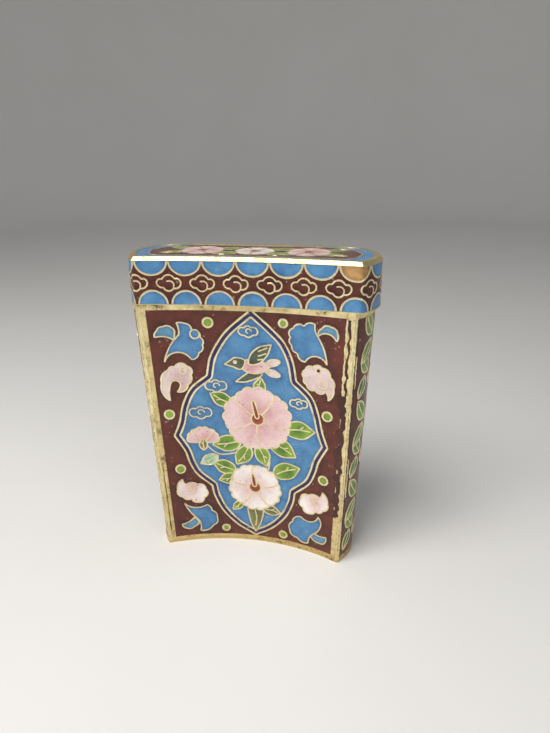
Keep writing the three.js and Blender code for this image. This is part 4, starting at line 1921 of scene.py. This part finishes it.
@dataclass
class Lid:
    """Slip-on lid with an enamel band and an enamelled top."""

    pitch: float = 0.26

    @property
    def offset(self) -> tuple[float, float, float]:
        """Place of the lid in the frame."""
        return (0.0, -MIDDLE_Y, 0.0)

    def band(self) -> None:
        """Enamel round the wall, laid out from the middle of the back."""
        ring, _ = outline(LID_PLAN, 160)
        start = int(np.argmin(np.abs(ring[:, 0]) - 1e3 * (ring[:, 1] > MIDDLE_Y)))
        ring = np.roll(ring, -start, axis=0)
        ring = np.vstack([ring, ring[:1]])
        heights = np.array([LID_BASE, HEIGHT])
        surface = WrapSurface([ring, ring], heights)
        half = float(surface.half(75.0))
        rows = np.linspace(BAND_LOW, BAND_HIGH, 8 * round((BAND_HIGH - BAND_LOW) / self.pitch / 8) + 1)
        columns = 8 * round(2 * half / self.pitch / 8)
        field_ = Field(rows, np.full(len(rows), -half), np.full(len(rows), half), columns, closed=True)
        EnamelPanel("lid_band", surface, BandPicture(half).design(), field_, "lid_band_enamel",
                    "lid_enamel",
                    self.offset, seed=11).build()

    def top(self) -> None:
        """Enamel in the top."""
        ring, _ = outline(LID_PLAN, 120)
        ring = inset(ring, LID_BEVEL + LID_TOP_BORDER)
        left, right = int(np.argmin(ring[:, 0])), int(np.argmax(ring[:, 0]))
        ring = np.roll(ring, -left, axis=0)
        turn = (right - left) % len(ring)
        front, back = ring[:turn + 1], np.vstack([ring[turn:], ring[:1]])[::-1]
        tall = ring[:, 0].max() - 0.06
        rows = np.linspace(-tall, tall, 8 * round(2 * tall / self.pitch / 8) + 1)
        near = np.interp(rows, front[:, 0], front[:, 1])
        far = np.interp(rows, back[:, 0], back[:, 1])
        columns = 8 * round(float((far - near).max()) / self.pitch / 8)
        field_ = Field(rows, -far, -near, columns)
        design = LidTopPicture().design()
        for motif in design.motifs:
            motif.line = motif.line - np.array([MIDDLE_Y, 0.0])
            if motif.heart is not None:
                motif.heart = (motif.heart[0] - MIDDLE_Y, motif.heart[1])
        EnamelPanel("lid_top", EndwaysSurface(HEIGHT), design, field_, "lid_top_enamel", "panel_enamel",
                    self.offset, seed=12).build()

    def build(self) -> None:
        """Builds the metal and its enamel."""
        taken_over("lid_shell", "gilt_lid", RIM_FINISH, 0.1,
                   ((BED_BAND_LOW, BAND_LOW), (BED_BAND_HIGH, BAND_HIGH)))
        taken_over("neck_ring", "gilt_neck", INNER_FINISH)
        self.band()
        self.top()


@dataclass
class Studio:
    """Floor, lights and camera."""

    distance: float = 142.81
    azimuth: float = 0.203
    pitch: float = 0.3598
    roll: float = 0.0138
    aside: float = 7.419
    rise: float = 54.4825
    focal: float = 600 * 36 / 733

    def floor(self) -> None:
        """Pale board that curves up all round."""
        sides, level, curve, top = 72, 700.0, 250.0, 900.0
        profile = [(0.0, 0.0), (300.0, 0.0), (level, 0.0)]
        for a in np.linspace(0.1, math.pi / 2, 12):
            profile.append((level + curve * math.sin(a), curve - curve * math.cos(a)))
        profile += [(level + curve, top)]
        turns = np.linspace(0.0, 2 * math.pi, sides, endpoint=False)
        corners = [(r * math.cos(a), r * math.sin(a), z) for r, z in profile[1:] for a in turns]
        parts = MeshParts()
        parts.add(np.array(corners), [list(range(sides)), *ring_faces(len(profile) - 1, sides, False)])
        item = parts.build("floor", (0.0, 0.0, 0.0))
        item.data.materials.append(FloorFinish().material())
        smooth(item)

    def light(self, name: str, place: tuple[float, float, float], size: float, power: float,
              colour: Colour = (1.0, 1.0, 1.0)) -> None:
        """Soft square light that faces the box.

        Args:
            name: Name it gets.
            place: Where it hangs, in millimetres.
            size: Length of its side, in millimetres.
            power: Its power in watts.
            colour: Its colour.
        """
        lamp = bpy.data.lights.new(name, "AREA")
        lamp.size = size * MM
        lamp.energy = power
        lamp.color = colour
        item = bpy.data.objects.new(name, lamp)
        item.location = Vector(place) * MM
        item.rotation_euler = (Vector((0.0, 0.0, 40.0)) - Vector(place)).to_track_quat("-Z", "Y").to_euler()
        bpy.context.scene.collection.objects.link(item)

    def camera(self) -> None:
        """Camera looking a little down and from the right."""
        forward = Vector((-math.sin(self.azimuth) * math.cos(self.pitch),
                          math.cos(self.azimuth) * math.cos(self.pitch), -math.sin(self.pitch)))
        right = Vector((math.cos(self.azimuth), math.sin(self.azimuth), 0.0))
        up = right.cross(forward)
        place = Vector((0.0, 0.0, self.rise)) + right * self.aside - forward * self.distance
        place += Vector((-LID_SHIFT, -MIDDLE_Y, 0.0))
        tilted_right = right * math.cos(self.roll) - up * math.sin(self.roll)
        tilted_up = up * math.cos(self.roll) + right * math.sin(self.roll)
        turn = Matrix((tilted_right, tilted_up, -forward)).transposed().to_4x4()
        lens = bpy.data.cameras.new("camera")
        lens.lens = self.focal
        lens.sensor_width = 36.0
        lens.clip_start = 0.01
        item = bpy.data.objects.new("camera", lens)
        item.matrix_world = Matrix.Translation(place * MM) @ turn
        bpy.context.scene.collection.objects.link(item)
        bpy.context.scene.camera = item

    def build(self) -> None:
        """Sets up the studio."""
        self.floor()
        self.light("key", (-90.0, -190.0, 400.0), 240.0, 1.55, (1.0, 0.97, 0.93))
        self.light("fill", (330.0, -300.0, 200.0), 260.0, 0.40, (0.95, 0.97, 1.0))
        self.light("side", (-330.0, -220.0, 200.0), 200.0, 0.45, (1.0, 0.98, 0.95))
        world = bpy.data.worlds.new("room")
        world.use_nodes = True
        world.node_tree.nodes["Background"].inputs["Color"].default_value = (0.95, 0.97, 1.0, 1.0)
        world.node_tree.nodes["Background"].inputs["Strength"].default_value = 0.22
        bpy.context.scene.world = world
        bpy.context.scene.view_settings.view_transform = "Standard"
        self.camera()


def main() -> None:
    """Builds the box piece by piece, then the studio."""
    logging.basicConfig(level=logging.INFO, format="%(message)s")
    Body().build()
    Lid().build()
    Studio().build()


if __name__ == "__main__":
    main()
